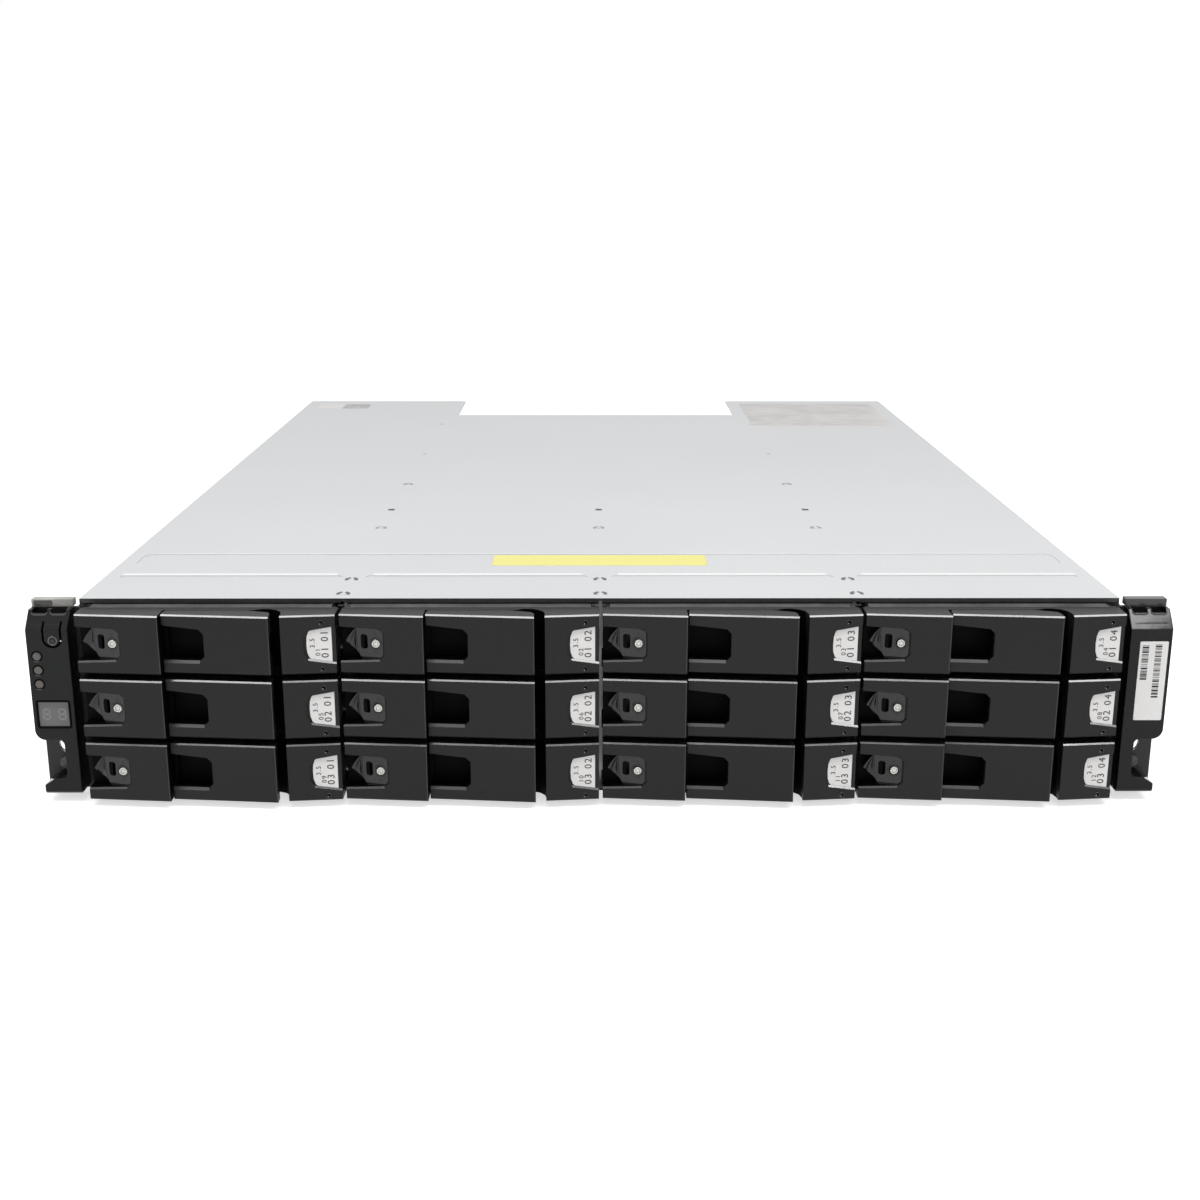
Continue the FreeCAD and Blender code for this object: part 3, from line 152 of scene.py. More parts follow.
# the rear modules: z from their underside, and a power module's x from its left side
POWER_PLUG_BACK = 211.9
FAN_X = 77.0
FAN_Z = {"lower": 21.075, "upper": 63.225}
FAN_FRAME_X = (57.0, 97.0)
FAN_FRAME_Y = (545.0, 576.0)
CASE_SHEET = 1.2
MAINS_X = (10.0, 38.0)
MAINS_Z = (5.0, 50.0)
MAINS_FRONT = 555.0
POWER_BACK_WALL = (575.7, 576.9)
IO_PLUG_BACK = 207.9
IO_BACK = 506.4
IO_PORTS = (-62.0, -30.0, 2.0)
IO_PORT_Z = 27.0
IO_CAGE_X = (-73.0, 14.0)
IO_CAGE_Y = (490.0, 507.5)
IO_CAGE_Z = (21.0, 33.0)


# ---------------------------------------------------------------- materials
MIDDLE_BAND = (0.3, 0.7)      # the stretch of a noise's values where most of them lie


def surface(name, dark, light, rough, metallic=0.0, specular=0.5, coat=0.0, grain=900.0,
            stretch=(1, 1, 1), blotch=14.0, bump=0.02, bump_grain=None, fine=0.5, soften=0.0):
    """A material with fine grain, broad blotches and a small bump, on object coordinates.

    grain, blotch and bump_grain are noise scales per metre; fine is the grain's share against
    the blotches. bump is the relief's height, and soften the radius that rounds sharp edges.
    """
    material = bpy.data.materials.new(name)
    material.use_nodes = True
    nodes, links = material.node_tree.nodes, material.node_tree.links
    shader = nodes["Principled BSDF"]
    shader.inputs["Metallic"].default_value = metallic
    shader.inputs["Specular IOR Level"].default_value = specular
    shader.inputs["Coat Weight"].default_value = coat
    shader.inputs["Coat Roughness"].default_value = 0.08
    place = nodes.new("ShaderNodeTexCoord")
    mapping = nodes.new("ShaderNodeMapping")
    mapping.inputs["Scale"].default_value = stretch
    links.new(place.outputs["Object"], mapping.inputs["Vector"])

    def noise(scale, detail, source):
        node = nodes.new("ShaderNodeTexNoise")
        node.inputs["Scale"].default_value = scale
        node.inputs["Detail"].default_value = detail
        links.new(source, node.inputs["Vector"])
        return node.outputs["Fac"]

    small = noise(grain, 4.0, mapping.outputs["Vector"])
    broad = noise(blotch, 5.0, place.outputs["Object"])
    mixed = nodes.new("ShaderNodeMix")
    mixed.inputs[0].default_value = fine
    links.new(broad, mixed.inputs[2])
    links.new(small, mixed.inputs[3])
    ramp = nodes.new("ShaderNodeValToRGB")
    for element, position, colour in zip(ramp.color_ramp.elements, MIDDLE_BAND, (dark, light)):
        element.position = position
        element.color = (*colour, 1)
    links.new(mixed.outputs[0], ramp.inputs["Fac"])
    links.new(ramp.outputs["Color"], shader.inputs["Base Color"])
    spread = nodes.new("ShaderNodeMapRange")
    for socket, value in zip(("From Min", "From Max", "To Min", "To Max"), (*MIDDLE_BAND, *rough)):
        spread.inputs[socket].default_value = value
    links.new(mixed.outputs[0], spread.inputs["Value"])
    links.new(spread.outputs["Result"], shader.inputs["Roughness"])
    height = noise(bump_grain or grain, 3.0, mapping.outputs["Vector"])
    relief = nodes.new("ShaderNodeBump")
    relief.inputs["Strength"].default_value = 1.0
    relief.inputs["Distance"].default_value = bump * MM
    links.new(height, relief.inputs["Height"])
    if soften:
        rounding = nodes.new("ShaderNodeBevel")
        rounding.samples = 4
        rounding.inputs["Radius"].default_value = soften * MM
        links.new(rounding.outputs["Normal"], relief.inputs["Normal"])
    links.new(relief.outputs["Normal"], shader.inputs["Normal"])
    return material


def grey(value, tint=1.0):
    return (value, value, value * tint)


PLASTIC = surface("textured_black_plastic", grey(0.0075), grey(0.0125), (0.34, 0.46), specular=0.22,
                  grain=1500.0, bump=0.02, bump_grain=2400.0, blotch=9.0, soften=0.5)
# glossy black for edges that face the lamp, a little lighter than the skin: real gloss with a painted sheen
SHEEN_BLACK = surface("worn_black_edge", grey(0.014), grey(0.028), (0.08, 0.24), specular=1.0,
               grain=260.0, stretch=(1, 5, 5), bump=0.004, blotch=26.0, fine=0.2)
# a glossier black for lips and upright edges, painted lighter than the skin as their sheen
SOFT_SHEEN_BLACK = surface("polished_black_lip", grey(0.014), grey(0.026), (0.28, 0.42), specular=0.42,
              grain=260.0, stretch=(1, 5, 5), bump=0.006, blotch=30.0)
# near-black painted as shade, for hollows, pockets, wells and the dark rims round the lamps and the window
PAINTED_SHADE_BLACK = surface("shadowed_black_plastic", grey(0.0012), grey(0.0025), (0.45, 0.6), specular=0.05,
                      grain=900.0, bump=0.01)
SMOOTH_BLACK = surface("smooth_black_plastic", grey(0.008), grey(0.013), (0.2, 0.3), specular=0.45,
                       grain=500.0, bump=0.006, soften=0.3)
GLOSS = surface("gloss_black_plastic", (0.0035, 0.0038, 0.0045), (0.0065, 0.007, 0.008), (0.06, 0.13),
                specular=0.2, grain=160.0, bump=0.03, bump_grain=75.0, soften=0.6)
COVER = surface("zinc_sheet_cover", (0.665, 0.675, 0.685), (0.745, 0.752, 0.76), (0.36, 0.5), metallic=0.3,
                specular=0.3, grain=240.0, stretch=(5, 1, 1), blotch=5.0, bump=0.006, fine=0.35)
STEEL = surface("zinc_sheet", (0.50, 0.51, 0.52), (0.62, 0.63, 0.64), (0.30, 0.42), metallic=0.8,
                grain=320.0, stretch=(1, 1, 4), blotch=8.0, bump=0.008, fine=0.4)
# dark metal painted as the shade on the front edges of sheets
SHADED_SHEET_EDGE = surface("dark_sheet_edge", grey(0.03), grey(0.07), (0.35, 0.5), metallic=0.6,
                   grain=600.0, stretch=(4, 1, 1), bump=0.01)
# a paler copy of the crease shade, for the fainter marks further back
FAINT_SHADOW_MARK = surface("pressed_mark_steel", grey(0.24), grey(0.46), (0.35, 0.5), metallic=0.6,
                  grain=900.0, bump=0.01)
BRIGHT = surface("plated_screw_steel", (0.34, 0.33, 0.31), (0.62, 0.61, 0.59), (0.2, 0.34), metallic=1.0,
                 grain=1800.0, bump=0.01, soften=0.1)
GASKET = surface("conductive_gasket", grey(0.05), grey(0.17), (0.7, 0.9), specular=0.2,
                 grain=1100.0, stretch=(1, 3, 1), bump=0.12, bump_grain=1600.0, blotch=90.0)
BLACK_STEEL = surface("black_powder_coat", grey(0.006), grey(0.011), (0.34, 0.5), specular=0.35,
                      grain=2600.0, bump=0.03, soften=0.2)
DRIVE_CAST = surface("cast_drive_body", grey(0.16), grey(0.24), (0.38, 0.55), metallic=0.8,
                     grain=1300.0, bump=0.04)
DRIVE_LID = surface("drive_lid", grey(0.42), grey(0.52), (0.26, 0.36), metallic=0.9,
                    grain=500.0, stretch=(1, 6, 1), bump=0.006, soften=0.3)
BOARD = surface("circuit_board", (0.008, 0.055, 0.028), (0.016, 0.095, 0.048), (0.25, 0.4), specular=0.5,
                grain=620.0, stretch=(1, 1, 1), bump=0.03, coat=0.3)
SOCKET = surface("socket_plastic", grey(0.012), grey(0.022), (0.3, 0.45), grain=1200.0, bump=0.01)
PAPER = surface("label_paper", (0.86, 0.845, 0.83), (0.92, 0.905, 0.895), (0.5, 0.62), specular=0.35,
                grain=700.0, bump=0.006)
OLD_PAPER = surface("scuffed_label_paper", (0.56, 0.535, 0.525), (0.88, 0.86, 0.85), (0.45, 0.62),
                    specular=0.35, grain=70.0, stretch=(1, 2, 1), blotch=28.0, bump=0.01, fine=0.45)
YELLOW = surface("yellow_sticker", (0.88, 0.81, 0.20), (0.94, 0.875, 0.25), (0.32, 0.42), specular=0.4,
                 grain=500.0, bump=0.004)
# dark ink for print, also used for the squares painted as the shade inside the cover's square holes
PRINT_AND_HOLE_SHADE_INK = surface("print_ink", grey(0.012), grey(0.03), (0.4, 0.5), specular=0.3, grain=900.0, bump=0.002)
FAINT_INK = surface("unlit_digit", grey(0.21), grey(0.26), (0.3, 0.4), grain=900.0, bump=0.002)
LENS = surface("smoked_lens", grey(0.11), grey(0.155), (0.16, 0.26), specular=0.4,
               grain=90.0, bump=0.003, coat=0.2)
LAMP = surface("unlit_lamp", (0.05, 0.042, 0.036), (0.10, 0.085, 0.075), (0.2, 0.32), specular=0.5,
               grain=500.0, bump=0.004, coat=0.3, soften=0.5)
# near white, painted as the highlight along the edges of pressings
PAINTED_HIGHLIGHT_SHEET = surface("rolled_sheet_edge", grey(0.90), grey(0.97), (0.3, 0.42), metallic=0.3,
                    grain=300.0, bump=0.004)
# dark metal painted as shade in creases and in the lock's drive
SHADOW_MARK = surface("stamped_shadow", grey(0.07), grey(0.2), (0.4, 0.55), metallic=0.6,
                    grain=900.0, bump=0.01)
# dark steel painted as the shade round the captive screw in its cavity
SHADE_PAINTED_SCREW = surface("shaded_screw_steel", grey(0.03), grey(0.1), (0.25, 0.4), metallic=0.9,
                      grain=1500.0, bump=0.02)
FADED = surface("faded_label", grey(0.42), grey(0.66), (0.45, 0.6), specular=0.3,
                grain=90.0, blotch=40.0, bump=0.01)
# a pale copy of the clip plate's material, painted as a reflection on the left ear's plate
REFLECTION_PALE_PLATE = surface("clip_plate_pale", (0.20, 0.195, 0.18), (0.52, 0.50, 0.46), (0.16, 0.26),
                      specular=0.5, grain=60.0, blotch=70.0, bump=0.006, soften=0.3)
DARK_PLATE = surface("clip_plate_dark", (0.03, 0.031, 0.033), (0.07, 0.071, 0.073), (0.16, 0.26),
                     specular=0.5, grain=60.0, blotch=70.0, bump=0.006, soften=0.3)
FAN = surface("fan_plastic", grey(0.010), grey(0.018), (0.35, 0.48), grain=900.0, bump=0.01, soften=0.3)


# ---------------------------------------------------------------- carried-over nodes
STRAIGHT = 0.9      # a face whose normal has more than this along an axis looks straight along it
SLANT = 0.35        # and one with more than this slants that way
SHEET_EDGE_BACK = 1.0


def paint(node, choose):
    """Gives each face of a CAD node the material that choose says, by its middle and its normal."""
    mesh = frame["nodes"][node].data
    mesh.materials.clear()
    used = []
    for face in mesh.polygons:
        x, y, z = face.center / MM
        material = choose(x, y + DEPTH_MIDDLE, z, face.normal)
        if material not in used:
            used.append(material)
            mesh.materials.append(material)
        face.material_index = used.index(material)


def plain(material):
    """Chooses the same material for every face."""
    return lambda x, y, z, normal: material


def within(value, ends):
    return ends[0] < value < ends[1]


def sheet(faces, front_edge):
    """Chooses one material for a sheet, and another for the cut edges at its front."""

    def choose(x, y, z, normal):
        return front_edge if y < SHEET_EDGE_BACK and normal.y < -STRAIGHT else faces

    return choose


def midplane_part(x, y, z, normal):
    """The board, and the sockets on its two sides."""
    return BOARD if within(y, MIDPLANE_BOARD) else SOCKET


def flange_part(x, y, z, normal):
    """Black brackets, the captive screw painted dark as the shade of its cavity, and the bare wall of the
    rack holes.
    """
    across = abs(x) - RACK_HOLE_X
    front, back = FLANGE_SHEET
    in_sheet = front - NEAR <= y <= back + NEAR
    if math.hypot(across, z - CAPTIVE_SCREW_Z) < CAPTIVE_SCREW_RADIUS and not in_sheet:
        return SHADE_PAINTED_SCREW
    wall = RACK_HOLES["dims"]["hole_r_mm"] + NEAR
    in_hole = any(math.hypot(across, z - hole) < wall for hole in RACK_HOLE_Z)
    return STEEL if in_hole and within(y, FLANGE_SHEET) else BLACK_STEEL


def ear_part(clip_plate):
    """Chooses the clip plate's material for an ear cap's top, and gloss for the rest."""
    return lambda x, y, z, normal: clip_plate if z > CLIP_PLATE_LOW else GLOSS


def panel_part(x, y, z, normal):
    """Board, lamps and window of the operator panel."""
    if y > PANEL_BOARD_FRONT:
        return BOARD
    return LAMP if z > PANEL_LAMPS_LOW else LENS


def is_lit_edge(normal):
    """Bevels and lips that face up and forward."""
    return normal.y < -SLANT and normal.z > SLANT


def clear_of_rims(z):
    return BEZEL_RIM < z < BEZEL_HEIGHT - BEZEL_RIM


def front_part(x, y, z, normal):
    """Skin, lit edges with a painted sheen, hollows painted dark as shade, and hinge pin of a carrier's
    moulded front.
    """
    if y < HINGE_PIN_BACK and z < HINGE_PIN_TOP and within(x, HINGE_PIN_X):
        return BRIGHT
    if is_lit_edge(normal):
        return SHEEN_BLACK if z > BEZEL_HEIGHT - EDGE_BAND or x > LABEL_PANEL_LIT else SOFT_SHEEN_BLACK
    at_panel_end = 0 < LOCK_PANEL_END + 2 * NEAR - x < LOCK_PANEL_ROUND
    if abs(normal.x) > SLANT and normal.y < -SLANT and at_panel_end:
        return SOFT_SHEEN_BLACK
    in_scoop = HANDLE_START - 1 < x < SCOOP_END and clear_of_rims(z)
    off_middle = abs(z - BEZEL_HEIGHT / 2)
    in_pocket = x < LOCK_PLATE[0][0] and off_middle < LOCK_POCKET_REACH and y > LOCK_POCKET_FRONT
    return PAINTED_SHADE_BLACK if in_scoop or in_pocket else PLASTIC


def carrier_part(line, low):
    """Front, gasket, connector block, drive and tray of the carrier at that place."""

    def choose(x, y, z, normal):
        x, z = x - line, z - low
        if y < MOULDED_FRONT_BACK:
            return front_part(x, y, z, normal)
        if y < GASKET_BACK and z > GASKET_LOW:
            return GASKET
        in_tray_wall = within(y, TRAY_BACK_WALL) and z < TRAY_BACK_WALL_TOP
        if y > DRIVE_Y[1] and within(x, CONNECTOR_X) and not in_tray_wall:
            return SOCKET
        in_drive = abs(x - DRIVE_MIDDLE[0]) < DRIVE_REACH and within(y, DRIVE_Y)
        return DRIVE_CAST if in_drive else STEEL

    return choose


def handle_part(line, low):
    """Outer skin, inner side painted dark as shade, and lit edges with a painted sheen, of a handle."""

    def choose(x, y, z, normal):
        x, z = x - line, z - low
        if is_lit_edge(normal):
            return SHEEN_BLACK if z > BEZEL_HEIGHT - EDGE_BAND else SOFT_SHEEN_BLACK
        if normal.x > SLANT and normal.y < -0.05 and x > HANDLE_END - EDGE_BAND:
            return SOFT_SHEEN_BLACK
        turned_in = abs(normal.z) > 0.5 or normal.y > 0.3 or y > HANDLE_HOLLOW_FRONT
        return PAINTED_SHADE_BLACK if clear_of_rims(z) and y > HANDLE_SKIN_BACK and turned_in else PLASTIC

    return choose


def power_part(left, low):
    """Plug, fan frames, inlet, switch frame and case of a power module."""

    def choose(x, y, z, normal):
        x, z = x - left, z - low
        if y < POWER_PLUG_BACK:
            return SMOOTH_BLACK
        if y > FAN_FRAME_Y[0] and within(x, FAN_FRAME_X):
            return SMOOTH_BLACK if y < FAN_FRAME_Y[1] and z > CASE_SHEET else STEEL
        in_mains = y > MAINS_FRONT and within(x, MAINS_X) and within(z, MAINS_Z)
        return SMOOTH_BLACK if in_mains and not within(y, POWER_BACK_WALL) else STEEL

    return choose


def io_part(low):
    """Plug, port cages and case of the interface module that stands at low."""

    def choose(x, y, z, normal):
        if y < IO_PLUG_BACK:
            return SOCKET
        in_cages = within(x, IO_CAGE_X) and within(y, IO_CAGE_Y) and within(z - low, IO_CAGE_Z)
        return BRIGHT if in_cages else STEEL

    return choose


# the cover's and the dividers' front edges are painted dark as shade
paint("top_cover", sheet(COVER, SHADED_SHEET_EDGE))
paint("chassis_base", sheet(STEEL, BLACK_STEEL))
paint("bay_dividers", sheet(STEEL, SHADED_SHEET_EDGE))
paint("bay_runners", plain(STEEL))
paint("rear_bay_walls", plain(STEEL))
paint("midplane", midplane_part)
paint("rack_flanges", flange_part)
paint("left_ear_cap", ear_part(REFLECTION_PALE_PLATE))
paint("right_ear_cap", ear_part(DARK_PLATE))
paint("operator_panel", panel_part)
for tag, line, low, _ in CARRIERS:
    paint("carrier_" + tag, carrier_part(line, low))
    paint("carrier_handle_" + tag, handle_part(line, low))
    paint("carrier_lock_" + tag, plain(BRIGHT))
for side, (left, _, low) in POWER_CORNERS.items():
    paint("power_module_" + side, power_part(left, low))
    paint("power_latch_" + side, plain(SMOOTH_BLACK))
    paint("power_switch_" + side, plain(SMOOTH_BLACK))
    for level in FAN_Z:
        paint("fan_rotor_%s_%s" % (side, level), plain(FAN))
for level, low in IO_LOWS.items():
    paint("io_module_" + level, io_part(low))
    paint("io_lever_" + level, plain(SMOOTH_BLACK))


# ---------------------------------------------------------------- building pieces
FRONT, BACK, UP = (0, -1, 0), (0, 1, 0), (0, 0, 1)
RIGHT, LEFT = (1, 0, 0), (-1, 0, 0)
PAPER_THICKNESS = 0.1
INK_THICKNESS = 0.03


def facing(origin, normal, across):
    """A placement whose u runs along across and whose w is the outward normal."""
    w = Vector(normal).normalized()
    u = Vector(across)
    u = (u - w * u.dot(w)).normalized()
    turn = Matrix((u, w.cross(u), w)).transposed().to_4x4()
    return Matrix.Translation(origin) @ turn


def shifted(place, u, v, w):
    return place @ Matrix.Translation((u * MM, v * MM, w * MM))


def set_down(name, body, mesh, place):
    item = bpy.data.objects.new(name, mesh)
    bpy.context.scene.collection.objects.link(item)
    item.matrix_world = place
    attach(item, body)
    return item


def drawn_mesh(name, draw):
    shape = bmesh.new()
    draw(shape)
    bmesh.ops.recalc_face_normals(shape, faces=shape.faces)
    mesh = bpy.data.meshes.new(name)
    shape.to_mesh(mesh)
    shape.free()
    return mesh


def new_piece(name, body, material, draw, place):
    """A piece of one material that rides on a body."""
    mesh = drawn_mesh(name, draw)
    mesh.materials.append(material)
    return set_down(name, body, mesh, place)


def cut_mesh(name, draw, cutters, bevel):
    """The mesh that draw makes, with the solids of the cutters taken out and its edges bevelled."""
    scene = bpy.context.scene
    meshes = [drawn_mesh(name + "_tool", one) for one in (draw, *cutters)]
    items = [bpy.data.objects.new(mesh.name, mesh) for mesh in meshes]
    for item in items:
        scene.collection.objects.link(item)
    for cutter in items[1:]:
        cut = items[0].modifiers.new("cut", "BOOLEAN")
        cut.object = cutter
        cut.solver = "EXACT"
    edges = items[0].modifiers.new("bevel", "BEVEL")
    edges.width = bevel * MM
    edges.segments = 2
    edges.limit_method = "ANGLE"
    ready = items[0].evaluated_get(bpy.context.evaluated_depsgraph_get())
    mesh = bpy.data.meshes.new_from_object(ready)
    mesh.name = name
    for item in items:
        bpy.data.objects.remove(item)
    return mesh


def words(name, body, text, size, place, material):
    """Small printed figures as flat solid letters."""
    curve = bpy.data.curves.new(name, "FONT")
    curve.body = text
    curve.size = size * MM
    curve.align_x = "CENTER"
    curve.align_y = "CENTER"
    curve.space_character = 1.25
    curve.extrude = INK_THICKNESS * MM
    curve.resolution_u = 3
    source = bpy.data.objects.new(name + "_source", curve)
    mesh = bpy.data.meshes.new_from_object(source)
    bpy.data.objects.remove(source)
    mesh.name = name
    mesh.materials.clear()
    mesh.materials.append(material)
    return set_down(name, body, mesh, place)


# ---------------------------------------------------------------- shapes
# plate, lathe, hoop and tube each return a function that draws the shape into a bmesh.
def corner(shape, u, v, w):
    return shape.verts.new((u * MM, v * MM, w * MM))


def circle(shape, radius, w, sides, middle=(0, 0)):
    turns = [2 * math.pi * i / sides for i in range(sides)]
    return [corner(shape, middle[0] + radius * math.cos(turn), middle[1] + radius * math.sin(turn), w)
            for turn in turns]


def bridge(shape, one, two):
    """A band of faces between two closed loops with as many corners."""
    for i in range(len(one)):
        j = (i + 1) % len(one)
        shape.faces.new((one[i], one[j], two[j], two[i]))


def plate(outline, low, high):
    """A closed plate over an outline of (u, v) points, from w = low to high."""

    def draw(shape):
        bottom = [corner(shape, u, v, low) for u, v in outline]
        top = [corner(shape, u, v, high) for u, v in outline]
        shape.faces.new(bottom[::-1])
        shape.faces.new(top)
        bridge(shape, bottom, top)

    return draw


def lathe(profile, sides, middle=(0, 0)):
    """A closed turned solid about w from (radius, w) points; the first and last lie on its axis."""

    def draw(shape):
        loops = [circle(shape, radius, w, sides, middle) if radius else [corner(shape, *middle, w)]
                 for radius, w in profile]
        for one, two in zip(loops, loops[1:]):
            for i in range(sides):
                j = (i + 1) % sides
                ends = [one[i % len(one)], one[j % len(one)], two[j % len(two)], two[i % len(two)]]
                shape.faces.new(list(dict.fromkeys(ends)))

    return draw


def hoop(section, sides):
    """A closed turned ring about w from the (radius, w) points round its section."""

    def draw(shape):
        loops = [circle(shape, radius, w, sides) for radius, w in section]
        for one, two in zip(loops, loops[1:] + loops[:1]):
            bridge(shape, one, two)

    return draw


def tube(points, radius, sides=8):
    """A round bar along (u, v, w) points, with closed ends."""

    def draw(shape):
        path = [Vector(spot) for spot in points]
        turns = [2 * math.pi * i / sides for i in range(sides)]
        loops = []
        for i, spot in enumerate(path):
            along = (path[min(i + 1, len(path) - 1)] - path[max(i - 1, 0)]).normalized()
            side = along.cross(Vector(UP)).normalized()
            over = side.cross(along)
            loops.append([corner(shape, *(spot + (side * math.cos(turn) + over * math.sin(turn)) * radius))
                          for turn in turns])
        for one, two in zip(loops, loops[1:]):
            bridge(shape, one, two)
        shape.faces.new(loops[0])
        shape.faces.new(loops[-1][::-1])

    return draw


def together(*draws):
    """One function that draws several shapes."""

    def draw_all(shape):
        for draw in draws:
            draw(shape)

    return draw_all


def arc(across, up, start, end, step):
    """The (u, v) points of a stretch of an ellipse, from its two radii and its angles in degrees."""
    return [(across * math.cos(math.radians(turn)), up * math.sin(math.radians(turn)))
            for turn in range(start, end + 1, step)]


def rounded(width, height, radius, steps=5, middle=(0, 0)):
    """The outline of a rectangle with round corners."""
    u, v = width / 2 - radius, height / 2 - radius
    outline = []
    for corner_u, corner_v, start in ((u, -v, -90), (u, v, 0), (-u, v, 90), (-u, -v, 180)):
        for step in range(steps + 1):
            turn = math.radians(start + 90 * step / steps)
            outline.append((middle[0] + corner_u + radius * math.cos(turn),
                            middle[1] + corner_v + radius * math.sin(turn)))
    return outline


def flat_label(width, height, radius):
    """A sheet of paper or film."""
    return plate(rounded(width, height, radius), 0, PAPER_THICKNESS)


# ---------------------------------------------------------------- carrier fronts
def panel_y(ends, x):
    """y on the straight line in plan between a panel's two (x, y) ends."""
    (x0, y0), (x1, y1) = ends
    return y0 + (y1 - y0) * (x - x0) / (x1 - x0)


def on_panel(ends, line, x, z, sunk=0.0):
    """A placement on an upright panel of the carrier at that line."""
    (x0, y0), (x1, y1) = ends
    return facing(point(line + x, panel_y(ends, x) + sunk, z), (y1 - y0, x0 - x1, 0), (x1 - x0, y1 - y0, 0))


# the label's paper: a tongue with a curved left end, from its upper half
LABEL_CORNERS = [(-4.9, 3.3), (-4.2, 5.4), (-3.1, 6.5), (5.4, 7.75)]
LABEL_OUTLINE = [(-5.1, 0)] + LABEL_CORNERS + [(u, -v) for u, v in LABEL_CORNERS[::-1]]
LABEL_THICKNESS = 0.12
draw_label = plate(LABEL_OUTLINE[::-1], 0, LABEL_THICKNESS)

# a moulded light well: a raised rim, a dished floor painted dark as shade, and a small bright metal dome in
# it, painted as the glint of its lens
STATUS_RING = [(0.75, -0.4), (0.8, 0.1), (0.92, 0.3), (1.1, 0.34), (1.3, 0.2), (1.38, 0.0), (1.38, -0.4)]
STATUS_WELL = [(0, 0.03), (0.6, 0.03), (0.85, 0.08), (0.85, -0.3), (0, -0.3)]
STATUS_GLINT_DOME = [(0, 0.24), (0.16, 0.2), (0.26, 0.05), (0.26, -0.1), (0, -0.1)]
GLINT_MIDDLE = (-0.3, -0.35)
STATUS_PARTS = (
    ("ring", SMOOTH_BLACK, hoop(STATUS_RING, 20)),
    ("well", PAINTED_SHADE_BLACK, lathe(STATUS_WELL, 16)),
    # the lens part is a bright metal dome painted as the lens's glint
    ("lens", BRIGHT, lathe(STATUS_GLINT_DOME, 10, GLINT_MIDDLE)),
)
STATUS_HEIGHTS = (("low", 2.1), ("high", 22.3))
STATUS_PROUD = 0.02


def draw_lock_head(shape):
    """A domed head with a dished six-lobed drive."""
    profile = [(0, -0.45), (0.7, -0.45), (0.9, 0.0), (1.12, 0.16), (1.42, 0.16), (1.68, 0.02), (1.82, -0.25),
               (1.82, -0.55), (0, -0.6)]
    lathe(profile, 36)(shape)
    drive_rim, lobes, lobe_depth = (0.5, 1.0), 6, 0.24
    for vert in shape.verts:
        if within(math.hypot(vert.co.x, vert.co.y) / MM, drive_rim):
            growth = 1 + lobe_depth * math.cos(lobes * math.atan2(vert.co.y, vert.co.x))
            vert.co.x *= growth
            vert.co.y *= growth


def make_lock_head():
    """The head's mesh, bright outside and painted dark in its drive as shade."""
    mesh = drawn_mesh("lock_head", draw_lock_head)
    mesh.materials.append(BRIGHT)
    mesh.materials.append(SHADOW_MARK)
    for face in mesh.polygons:
        x, y, z = face.center / MM
        face.material_index = int(math.hypot(x, y) < 0.95 and z > -0.5)
    return mesh


def lock_pointer(sign):
    """A small triangle above or below the lock."""
    return plate([(-0.55, 3.5 * sign), (0.55, 3.5 * sign), (0.0, 4.5 * sign)][::sign], 0.1, 0.3)


LOCK_RING = [(2.05, -0.3), (2.05, 0.3), (2.2, 0.42), (2.6, 0.42), (2.8, 0.25), (2.8, -0.3)]
draw_lock_ring = together(hoop(LOCK_RING, 28), lock_pointer(-1), lock_pointer(1))


def draw_lock_plate(shape):
    """The lock's plate, with a curved left edge; the slot's middle is at its origin."""
    left = [(-2.3 - 0.9 * math.cos(math.radians(turn)) - 0.009 * turn, 6.4 * math.sin(math.radians(turn)))
            for turn in range(90, -91, -15)]
    right = [(6.9, -6.2), (7.9, -5.8), (8.5, -4.9), (8.5, 4.6), (7.9, 5.7), (5.6, 6.5)]
    plate(left + right, -0.4, 0.22)(shape)


def draw_lock_scoop(shape):
    """The hollowed blade left of the plate, between two curves that sink into the pocket."""
    left = ((3.0, 0.6, 0.3), (4.4, 3.0, 0.3), (6.2, 5.2, 0.2), (8.0, 6.9, 0.1))
    middle = ((5.4, -2.6, -1.3), (6.0, 0.4, -1.5), (6.9, 3.8, -0.9), (8.1, 6.8, 0.0))
    right = ((9.6, -6.0, 0.3), (8.2, -2.4, 0.15), (7.7, 2.2, 0.1), (8.2, 6.7, 0.15))
    rows = [[corner(shape, *spot) for spot in curve] for curve in (left, middle, right)]
    for one, two in zip(rows, rows[1:]):
        for i in range(len(one) - 1):
            shape.faces.new((one[i], one[i + 1], two[i + 1], two[i]))
    bmesh.ops.subdivide_edges(shape, edges=shape.edges, cuts=2, use_grid_fill=True, smooth=1.0)
    bmesh.ops.solidify(shape, geom=shape.faces, thickness=0.3 * MM)
    for face in shape.faces:
        face.smooth = True


def make_lock_plate():
    """The plate's mesh, with its slot and the hole for the lock cut through."""
    across = LOCK_PLATE[1][0] - LOCK_PLATE[0][0]
    slant = math.hypot(across, LOCK_PLATE[1][1] - LOCK_PLATE[0][1]) / across
    lock_u = (LOCK_X - LOCK_SLOT_X) * slant
    slot = plate(rounded(3.0, 6.2, 1.1, middle=(0, 0.5)), -2, 2)
    hole = plate([(lock_u + u, v) for u, v in arc(1.98, 1.98, 0, 345, 15)], -2, 2)
    mesh = cut_mesh("lock_plate", draw_lock_plate, (slot, hole), 0.12)
    mesh.materials.append(SMOOTH_BLACK)
    return mesh


LOCK_HEAD_MESH = make_lock_head()
LOCK_PLATE_MESH = make_lock_plate()
# the slot's floor, painted near-black as shade
draw_slot_floor = plate(rounded(1.7, 6.4, 0.8, middle=(-0.75, 0.5)), -0.1, 0.04)
SCOOP_Y = -13.0


